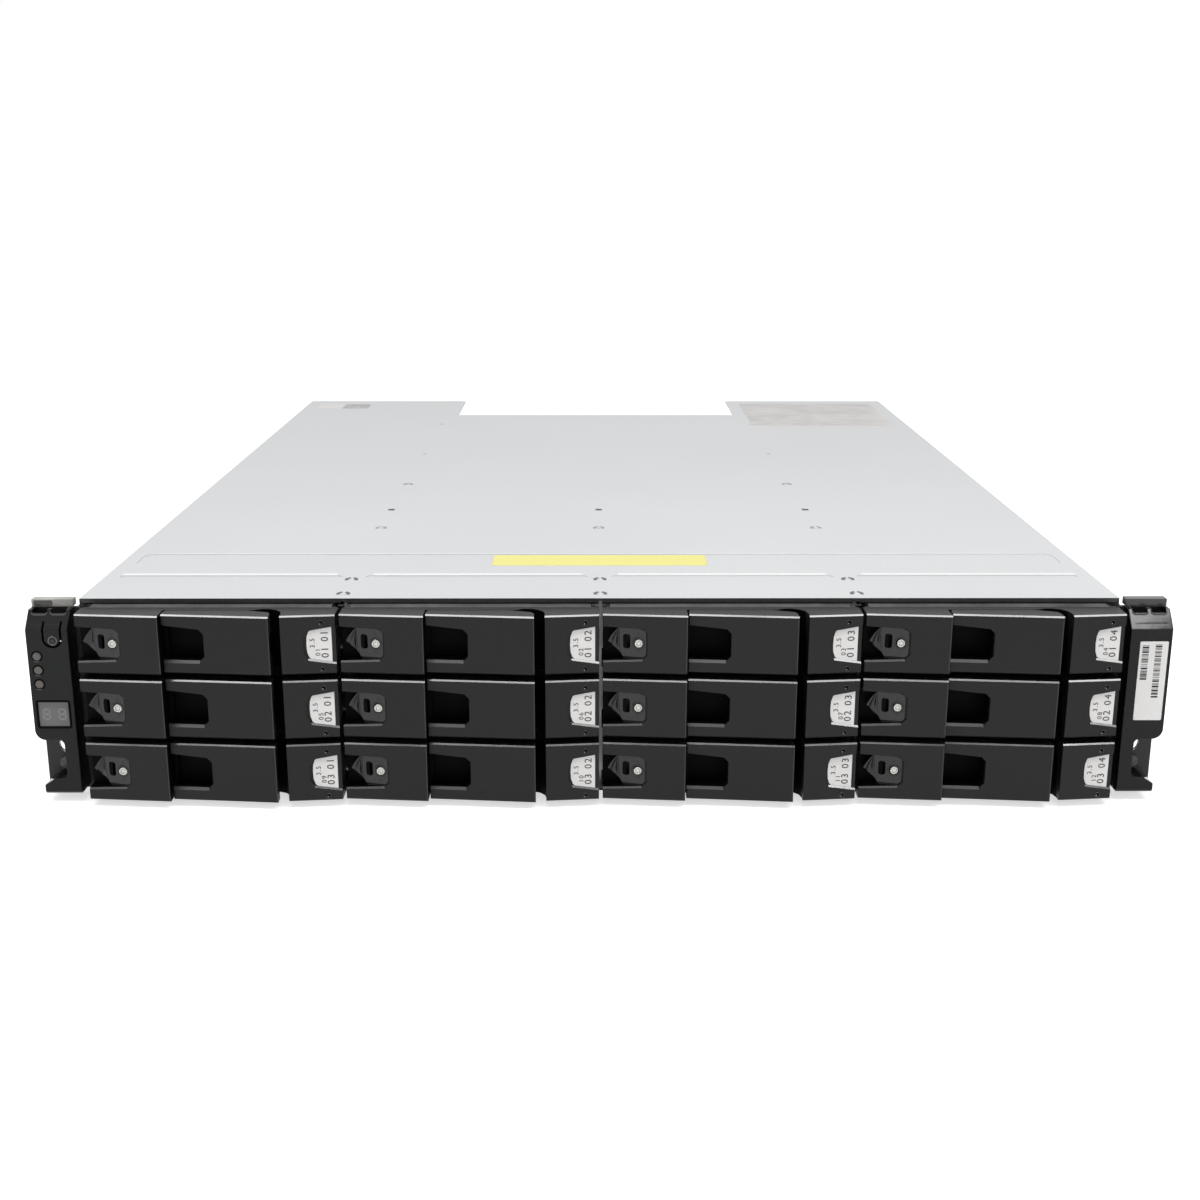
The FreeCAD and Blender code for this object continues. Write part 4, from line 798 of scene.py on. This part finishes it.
def carrier_piece(name, tag, material, draw, place):
    new_piece(name + tag, "carrier_" + tag, material, draw, place)


def trim_label(tag, line, low, text):
    x, z = LABEL_AT
    place = on_panel(LABEL_PANEL, line, x, low + z, LABEL_RECESS_DEPTH)
    carrier_piece("label_", tag, PAPER, draw_label, place)
    turned = Matrix.Rotation(math.radians(90), 4, "Z")
    large, small = 4.3, 2.9
    rows = (
        ("bay", text, large, 2.6, 0.0),
        ("size", "3.5", small, -2.6, 0.6),
        ("unit", tag, small, -0.4, -3.4),
    )
    for kind, figures, size, u, v in rows:
        words("label_%s_%s" % (kind, tag), "carrier_" + tag, figures, size,
              shifted(place, u, v, LABEL_THICKNESS + INK_THICKNESS) @ turned, PRINT_AND_HOLE_SHADE_INK)


def trim_edges(tag, line, low):
    """The rounded upright edges at the right of the lock panel and of the handle, which catch the light;
    their lighter black is a painted sheen.
    """
    bottom, top = 1.0, BEZEL_HEIGHT - 1.2
    inset, sunk = 0.28, 0.24
    draw = tube([(0, height, 0) for height in (bottom, BEZEL_HEIGHT / 2, top)], radius=0.3)
    for name, body, x, y in (("lock_panel_edge_", "carrier_", LOCK_PANEL_END, LOCK_FRONT_END),
                             ("handle_edge_", "carrier_handle_", HANDLE_END, HANDLE_FRONT_END)):
        new_piece(name + tag, body + tag, SOFT_SHEEN_BLACK, draw,
                  facing(point(line + x - inset, y + sunk, low), FRONT, RIGHT))


def trim_lock(tag, line, low):
    middle = low + BEZEL_HEIGHT / 2
    slot_place = on_panel(LOCK_PLATE, line, LOCK_SLOT_X, middle)
    set_down("lock_plate_" + tag, "carrier_" + tag, LOCK_PLATE_MESH.copy(), slot_place)
    ring_place = on_panel(LOCK_PLATE, line, LOCK_X, middle)
    carrier_piece("lock_ring_", tag, SMOOTH_BLACK, draw_lock_ring, ring_place)
    head = point(line + LOCK_X, panel_y(LOCK_PLATE, LOCK_X) - LOCK_HEAD_PROUD, middle)
    set_down("lock_head_" + tag, "carrier_lock_" + tag, LOCK_HEAD_MESH.copy(),
             facing(head, FRONT, RIGHT))
    carrier_piece("lock_slot_floor_", tag, PAINTED_SHADE_BLACK, draw_slot_floor, slot_place)
    carrier_piece("lock_scoop_", tag, SMOOTH_BLACK, draw_lock_scoop,
                  facing(point(line, SCOOP_Y, middle), FRONT, RIGHT))


def trim_status(tag, line, low):
    for level, height in STATUS_HEIGHTS:
        place = on_panel(LABEL_PANEL, line, STATUS_X, low + height, -STATUS_PROUD)
        for part, material, draw in STATUS_PARTS:
            carrier_piece("status_%s_%s_" % (part, level), tag, material, draw, place)


def lid_screw(u, v):
    """A low head with a wide recess."""
    head = [(0, 0.32), (1.0, 0.32), (1.2, 0.43), (1.9, 0.43), (2.2, 0.32), (2.2, 0.05), (0, 0.05)]
    return lathe(head, 16, (u, v))


# the drive's pressed lid, with a round step over the spindle and another over the arm's pivot
SPINDLE, ARM_PIVOT = (0, 22), (-24, -44)
LID_SCREWS = [(u, v) for v in (-67, 0, 67) for u in (-45, 45)] + [ARM_PIVOT, SPINDLE]
SPINDLE_STEP = [(0, 0.3), (38.0, 0.3), (39.5, 0.12), (39.5, 0.02), (0, 0.02)]
PIVOT_STEP = [(0, 0.26), (13.0, 0.26), (14.0, 0.12), (14.0, 0.02), (0, 0.02)]
draw_drive_lid = together(
    plate(rounded(98.0, 143.0, 4.0), 0, 0.1),
    lathe(SPINDLE_STEP, 40, SPINDLE),
    lathe(PIVOT_STEP, 28, ARM_PIVOT),
    *[lid_screw(u, v) for u, v in LID_SCREWS])

for tag, line, low, text in CARRIERS:
    trim_label(tag, line, low, text)
    trim_edges(tag, line, low)
    trim_lock(tag, line, low)
    trim_status(tag, line, low)
    x, y = DRIVE_MIDDLE
    carrier_piece("drive_lid_", tag, DRIVE_LID, draw_drive_lid,
                  facing(point(line + x, y, low + DRIVE_TOP), UP, RIGHT))


# ---------------------------------------------------------------- cover
def cover_piece(name, material, draw, x, y):
    new_piece(name, "chassis", material, draw, facing(point(x, y, BODY_HEIGHT), UP, RIGHT))


def spot_wing(sign):
    """The crease at one side of a pressed joint, painted dark as its shade, with a short tail."""
    outer = arc(sign * 3.0, 3.4, -35, 75, 10)
    inner = arc(sign * 1.3, 1.5, -35, 75, 10)
    return plate((outer + inner[::-1])[::sign], -0.1, 0.08)


def highlight_strip(length, width):
    """A low strip with rounded ends, painted near white as the highlight along the edge of a pressing."""
    return plate(rounded(length, width, width / 2 - 0.01, middle=(0, width / 2)), -0.1, 0.06)


def trim_spot(name, material, x, y, button=True):
    """The mark of a pressed joint: the painted shade of two creases, and the button between them."""
    cover_piece("spot_wings_" + name, material, draw_spot_wings, x, y)
    if button:
        cover_piece("spot_button_" + name, COVER, draw_spot_button, x, y)


draw_spot_wings = together(spot_wing(-1), spot_wing(1))
SPOT_BUTTON = [(0, 0.05), (0.5, 0.08), (0.9, 0.2), (1.3, 0.1), (1.5, 0.0), (1.5, -0.1), (0, -0.1)]
draw_spot_button = lathe(SPOT_BUTTON, 20)
# dark squares painted as the shade inside the cover's square holes
draw_hole_shade_square = plate(rounded(3.4, 3.4, 0.3), -0.05, 0.03)
NAME_SHIFT = 111      # keeps the numbers in the marks' names from being negative
SPOT_COLUMNS = (-110.5, 0.0, 110.5)
# the creases are painted as shade: dark in the front two rows, fainter further back
SPOT_ROWS = ((7.6, SHADOW_MARK), (31.6, SHADOW_MARK), (133.8, FAINT_SHADOW_MARK))
REAR_SPOTS, REAR_SPOT_Y = (-109.5, 109.5), 246.2
SQUARE_HOLES, SQUARE_HOLE_Y = (-110.7, 0.2, 111.0), 177.3
for x in SPOT_COLUMNS:
    for y, material in SPOT_ROWS:
        trim_spot("%d_%d" % (x + NAME_SHIFT, y), material, x, y)
for x in REAR_SPOTS:
    trim_spot("%d_%d" % (x + NAME_SHIFT, REAR_SPOT_Y), FAINT_SHADOW_MARK, x, REAR_SPOT_Y, button=False)
for x in SQUARE_HOLES:
    cover_piece("square_hole_%d" % (x + NAME_SHIFT), PRINT_AND_HOLE_SHADE_INK, draw_hole_shade_square, x, SQUARE_HOLE_Y)

GROOVES = ((-214.8, -117.8), (-102.2, -7.8), (7.8, 102.2), (117.8, 214.8))      # their ends
GROOVE_EDGE_Y, GROOVE_EDGE_WIDTH = 38.9, 3.2
# near-white strips painted as the highlights along the grooves' rear edges and the panel's rear edge
for index, (x0, x1) in enumerate(GROOVES):
    cover_piece("groove_edge_%d" % (index + 1), PAINTED_HIGHLIGHT_SHEET, highlight_strip(x1 - x0, GROOVE_EDGE_WIDTH),
                (x0 + x1) / 2, GROOVE_EDGE_Y)
cover_piece("panel_edge", PAINTED_HIGHLIGHT_SHEET, highlight_strip(length=418, width=0.9), 0, 78.9)

COVER_LABELS = (      # name, material, width, height, corner radius and middle
    ("yellow_sticker", YELLOW, 99.4, 19.4, 2.0, (0, 66.1)),
    ("rear_label_large", OLD_PAPER, 100, 104, 1.5, (161, 510)),
    ("rear_label_small", PAPER, 19.4, 21.0, 1.0, (-202.3, 548.5)),
    ("rear_label_faded", FADED, 19.4, 21.0, 1.0, (-182.7, 548.5)),
)
for name, material, width, height, radius, middle in COVER_LABELS:
    cover_piece(name, material, flat_label(width, height, radius), *middle)


# ---------------------------------------------------------------- ears
def ear_piece(name, material, draw, place):
    new_piece(name, "chassis", material, draw, place)


def on_ear(x, z, sunk=0.0):
    return facing(point(x, EAR_FRONT + sunk, z), FRONT, RIGHT)


def draw_bars(seed, low, high):
    """A column of plain stripes of uneven width."""

    def draw(shape):
        source = random.Random(seed)
        v = low
        while v < high:
            width = source.choice((0.25, 0.25, 0.5, 0.75))
            stripe = [(-1.4, v), (1.4, v), (1.4, v + width), (-1.4, v + width)]
            plate(stripe, 0, INK_THICKNESS)(shape)
            v += width + source.choice((0.25, 0.3, 0.55))

    return draw


def laid_flat(outline):
    """The (u, v) points of an outline as (u, v, w) points at w = 0."""
    return [(u, v, 0) for u, v in outline]


EAR_LABEL = on_ear(x=234.1, z=54.4)
BAR_COLUMNS = ((11, -7.4, 16.6, 2.0), (12, 0.6, 16.4, -3.5))      # seed, low, high and middle
ear_piece("ear_label", PAPER, flat_label(12.0, 35.2, 0.5), EAR_LABEL)
for index, (seed, low, high, u) in enumerate(BAR_COLUMNS):
    ear_piece("ear_label_bars_%d" % (index + 1), PRINT_AND_HOLE_SHADE_INK, draw_bars(seed, low, high),
              shifted(EAR_LABEL, u, 0, PAPER_THICKNESS))

SLOPE_NORMAL = (0, -7.2, 6.1)      # of the ear's slanted top
NOTCHES_X, NOTCH_LIP_Y, NOTCH_LIP_Z = (228.6, 236.6), -7.0, 82.7
LIP_HALF = [(2.2, -0.1), (2.9, 0.2), (3.3, 0.9)]
NOTCH_LIP = laid_flat([(-u, v) for u, v in LIP_HALF[::-1]] + LIP_HALF)
# tubes under the notches in the black with a painted sheen, for the highlight on the notches' lower rims
for side, sign in (("left", -1), ("right", 1)):
    for index, x in enumerate(NOTCHES_X):
        ear_piece("notch_lip_%s_%d" % (side, index + 1), SHEEN_BLACK, tube(NOTCH_LIP, radius=0.38),
                  facing(point(sign * x, NOTCH_LIP_Y, NOTCH_LIP_Z), SLOPE_NORMAL, RIGHT))
ear_piece("clip_plate_shade", DARK_PLATE, plate(rounded(8.0, 2.4, 0.5), -0.1, 0.05),
          facing(point(x=-236.6, y=-1.0, z=86.2), FRONT, RIGHT))

# each lamp has a near-black ring round it, painted as its shadow, and below it a tube in the black with a
# painted sheen, as its glint
LAMP_X, LAMPS_Z = -237.6, (65.8, 59.6, 53.4)
LAMP_SHADOW_RING = [(1.86, -0.3), (1.9, 0.25), (2.05, 0.4), (2.3, 0.3), (2.45, 0.0), (2.45, -0.3)]
GLINT_PROUD = 0.15
draw_lamp_shadow_ring = hoop(LAMP_SHADOW_RING, 24)
draw_lamp_glint = tube(laid_flat(arc(2.35, 2.35, 235, 295, 15)), 0.22)
for index, z in enumerate(LAMPS_Z):
    ear_piece("lamp_bezel_%d" % (index + 1), PAINTED_SHADE_BLACK, draw_lamp_shadow_ring, on_ear(LAMP_X, z))
    ear_piece("lamp_glint_%d" % (index + 1), SHEEN_BLACK, draw_lamp_glint, on_ear(LAMP_X, z, -GLINT_PROUD))

# the release tab's moulded ring, with a small boss in its middle, both in the blacks with a painted sheen
TAB = on_ear(x=-230.4, z=72.6)
TAB_RING = [(1.35, -0.3), (1.4, 0.2), (1.6, 0.38), (1.85, 0.38), (2.1, 0.15), (2.2, -0.3)]
TAB_BOSS = [(0, 0.12), (0.5, 0.2), (0.85, 0.12), (1.0, -0.05), (1.0, -0.3), (0, -0.3)]
ear_piece("tab_ring", SHEEN_BLACK, hoop(TAB_RING, 28), TAB)
ear_piece("tab_boss", SOFT_SHEEN_BLACK, lathe(TAB_BOSS, 18), TAB)

# a near-black rim round the sunk window, painted as its shadow
WINDOW_LINE = laid_flat(rounded(13.8, 11.9, 0.8, steps=3))
ear_piece("window_frame", PAINTED_SHADE_BLACK, tube(WINDOW_LINE + WINDOW_LINE[:1], radius=0.5),
          on_ear(x=-232.8, z=39.85))

# the seven segments of a digit
SEGMENTS = (
    [(-1.2, 2.6), (1.2, 2.6), (0.8, 1.9), (-0.8, 1.9)],
    [(-1.0, 0.35), (1.0, 0.35), (1.0, -0.35), (-1.0, -0.35)],
    [(-0.8, -1.9), (0.8, -1.9), (1.2, -2.6), (-1.2, -2.6)],
    [(-1.6, 2.3), (-1.0, 1.8), (-1.0, 0.6), (-1.6, 0.2)],
    [(1.0, 1.8), (1.6, 2.3), (1.6, 0.2), (1.0, 0.6)],
    [(-1.6, -0.2), (-1.0, -0.6), (-1.0, -1.8), (-1.6, -2.3)],
    [(1.0, -0.6), (1.6, -0.2), (1.6, -2.3), (1.0, -1.8)],
)
DIGITS_X, DIGITS_Z = (-235.9, -229.3), 39.8
WINDOW_SUNK = 0.4
draw_digit = together(*[plate(outline, 0, 0.04) for outline in SEGMENTS])
for index, x in enumerate(DIGITS_X):
    new_piece("display_digit_%d" % (index + 1), "chassis", FAINT_INK, draw_digit,
              on_ear(x, DIGITS_Z, WINDOW_SUNK))


# ---------------------------------------------------------------- rear
WIRE = 0.7
GUARD_RINGS = (6.5, 12.0, 17.4)
GUARD_SPOKE = (3.0, 18.6)
GUARD_PROUD = 1.0


def guard_ring(radius):
    """One of a fan guard's round wires."""
    turns = [math.radians(60 * i) for i in range(6)]
    return hoop([(radius + WIRE * math.cos(turn), WIRE * math.sin(turn)) for turn in turns], 28)


def guard_spoke(turn):
    """A straight wire that the rings stand on."""
    out = (math.cos(math.radians(turn)), math.sin(math.radians(turn)))
    return tube([(out[0] * reach, out[1] * reach, -WIRE) for reach in GUARD_SPOKE], WIRE, sides=6)


draw_guard = together(*[guard_ring(radius) for radius in GUARD_RINGS],
                      *[guard_spoke(turn) for turn in (45, 135, 225, 315)])
for side, (left, _, low) in POWER_CORNERS.items():
    for level, z in FAN_Z.items():
        new_piece("fan_guard_%s_%s" % (side, level), "power_module_" + side, BRIGHT,
                  draw_guard, facing(point(left + FAN_X, BODY_DEPTH + GUARD_PROUD, low + z), BACK, RIGHT))

VENT = (60.0, 14.0)
VENT_HOLES = (18, 4)
VENT_AT = (64.0, 28.0)
VENT_SUNK, TONGUE_SUNK = 0.3, 2.5
CELL_RIM = [(1, 0), (1, 1), (0, 1), (-1, 1), (-1, 0), (-1, -1), (0, -1), (1, -1)]


def draw_vent(shape):
    """A perforated sheet with octagonal holes, one in each of its cells."""
    wide, high = VENT[0] / VENT_HOLES[0], VENT[1] / VENT_HOLES[1]
    radius = 1.25
    turns = [math.atan2(b, a) for a, b in CELL_RIM]
    for i in range(VENT_HOLES[0]):
        for j in range(VENT_HOLES[1]):
            u, v = (i + 0.5) * wide - VENT[0] / 2, (j + 0.5) * high - VENT[1] / 2
            outer = [corner(shape, u + a * wide / 2, v + b * high / 2, 0) for a, b in CELL_RIM]
            inner = [corner(shape, u + radius * math.cos(turn), v + radius * math.sin(turn), 0)
                     for turn in turns]
            bridge(shape, outer, inner)
    bmesh.ops.remove_doubles(shape, verts=shape.verts, dist=0.01 * MM)
    bmesh.ops.solidify(shape, geom=shape.faces, thickness=0.5 * MM)


CONTACTS, CONTACT_PITCH = 8, 1.8


def port_contact(index):
    """One of a row of flat contacts on top of a port's tongue."""
    u = (index - (CONTACTS - 1) / 2) * CONTACT_PITCH
    return plate([(u - 0.4, 0.78), (u + 0.4, 0.78), (u + 0.4, 0.95), (u - 0.4, 0.95)], -5, -0.3)


draw_port_tongue = plate(rounded(15.2, 1.6, 0.3), -6, 0)
draw_port_contacts = together(*[port_contact(index) for index in range(CONTACTS)])
for level, low in IO_LOWS.items():
    body = "io_module_" + level
    new_piece("io_vent_" + level, body, STEEL, draw_vent,
              facing(point(VENT_AT[0], IO_BACK - VENT_SUNK, low + VENT_AT[1]), BACK, LEFT))
    for index, x in enumerate(IO_PORTS):
        place = facing(point(x, IO_BACK - TONGUE_SUNK, low + IO_PORT_Z), BACK, LEFT)
        name = "%s_%d" % (level, index + 1)
        new_piece("port_tongue_" + name, body, SOCKET, draw_port_tongue, place)
        new_piece("port_contacts_" + name, body, BRIGHT, draw_port_contacts, place)


# ---------------------------------------------------------------- studio
SKY_LIGHT, SKY_SEEN = 0.44, 1.0
FLOOR_REACH = 12.0
FLOOR_DROP = 0.0004
FLOOR_GREY = 0.92
FLOOR_GLOW = 0.62
CAMERA_PLACE = (-0.004417, -0.92837, 0.26494)
CAMERA_LENS = 46.603
PITCH_DOWN, YAW_RIGHT, ROLL = 0.2721229, 0.0066710, 0.0011964      # radians


def seen_ray(nodes, links):
    """1 where a ray from the camera, or one that metal or glass turns, meets the backdrop, else 0."""
    rays = nodes.new("ShaderNodeLightPath")
    total = rays.outputs["Is Camera Ray"]
    for kind in ("Is Glossy Ray", "Is Transmission Ray"):
        either = nodes.new("ShaderNodeMath")
        either.operation = "MAXIMUM"
        links.new(total, either.inputs[0])
        links.new(rays.outputs[kind], either.inputs[1])
        total = either.outputs[0]
    return total


def make_world():
    """A pale sky, brighter where it is seen than in the light that it gives."""
    world = bpy.data.worlds.new("studio_world")
    bpy.context.scene.world = world
    world.use_nodes = True
    nodes, links = world.node_tree.nodes, world.node_tree.links
    sky = nodes["Background"]
    sky.inputs["Color"].default_value = (1, 1, 1, 1)
    strength = nodes.new("ShaderNodeMapRange")
    strength.inputs["To Min"].default_value = SKY_LIGHT
    strength.inputs["To Max"].default_value = SKY_SEEN
    links.new(seen_ray(nodes, links), strength.inputs["Value"])
    links.new(strength.outputs["Result"], sky.inputs["Strength"])


def make_floor():
    """A pale floor just under the shelf, lifted to white where it is seen."""
    mesh = bpy.data.meshes.new("floor")
    corners = [(-FLOOR_REACH, -FLOOR_REACH, 0), (FLOOR_REACH, -FLOOR_REACH, 0),
               (FLOOR_REACH, FLOOR_REACH, 0), (-FLOOR_REACH, FLOOR_REACH, 0)]
    mesh.from_pydata(corners, [], [(0, 1, 2, 3)])
    floor = bpy.data.objects.new("floor", mesh)
    floor.location = (0, 0, -FLOOR_DROP)
    bpy.context.scene.collection.objects.link(floor)
    material = bpy.data.materials.new("pale_floor")
    material.use_nodes = True
    nodes, links = material.node_tree.nodes, material.node_tree.links
    shader = nodes["Principled BSDF"]
    shader.inputs["Base Color"].default_value = (FLOOR_GREY, FLOOR_GREY, FLOOR_GREY, 1)
    shader.inputs["Roughness"].default_value = 0.8
    shader.inputs["Specular IOR Level"].default_value = 0.0
    lift = nodes.new("ShaderNodeMath")
    lift.operation = "MULTIPLY"
    lift.inputs[1].default_value = FLOOR_GLOW
    links.new(seen_ray(nodes, links), lift.inputs[0])
    shader.inputs["Emission Color"].default_value = (1, 1, 1, 1)
    links.new(lift.outputs[0], shader.inputs["Emission Strength"])
    mesh.materials.append(material)


def make_lamp(name, place, aim, size, power):
    light = bpy.data.lights.new(name, "AREA")
    light.shape = "RECTANGLE"
    light.size, light.size_y = size
    light.energy = power
    item = bpy.data.objects.new(name, light)
    item.location = place
    item.rotation_euler = (Vector(aim) - Vector(place)).to_track_quat("-Z", "Y").to_euler()
    bpy.context.scene.collection.objects.link(item)


def make_camera():
    """The photograph's view, looking to the rear and a little down."""
    camera = bpy.data.cameras.new("camera")
    camera.sensor_width = 36.0
    camera.lens = CAMERA_LENS
    camera.clip_start, camera.clip_end = 0.05, 60.0
    ahead = math.cos(PITCH_DOWN)
    forward = Vector((math.sin(YAW_RIGHT) * ahead, math.cos(YAW_RIGHT) * ahead, -math.sin(PITCH_DOWN)))
    right = Vector((math.cos(YAW_RIGHT), -math.sin(YAW_RIGHT), 0))
    up = right.cross(forward)
    rolled_right = right * math.cos(ROLL) + up * math.sin(ROLL)
    rolled_up = -right * math.sin(ROLL) + up * math.cos(ROLL)
    turn = Matrix((rolled_right, rolled_up, -forward)).transposed().to_4x4()
    item = bpy.data.objects.new("camera", camera)
    item.matrix_world = Matrix.Translation(CAMERA_PLACE) @ turn
    bpy.context.scene.collection.objects.link(item)
    bpy.context.scene.camera = item


make_world()
make_floor()
make_lamp("overhead_strip", (0, -0.56, 1.05), (0, -0.25, 0.05), (2.0, 0.14), 8.0)
make_lamp("right_glint", (0.61, -0.745, 1.05), (0.23, -0.3, 0.08), (0.2, 0.06), 0.9)
make_lamp("front_fill", (-0.7, -1.9, 1.5), (0, -0.2, 0.05), (1.6, 1.6), 4.0)
make_camera()
bpy.context.scene.view_settings.view_transform = "Standard"
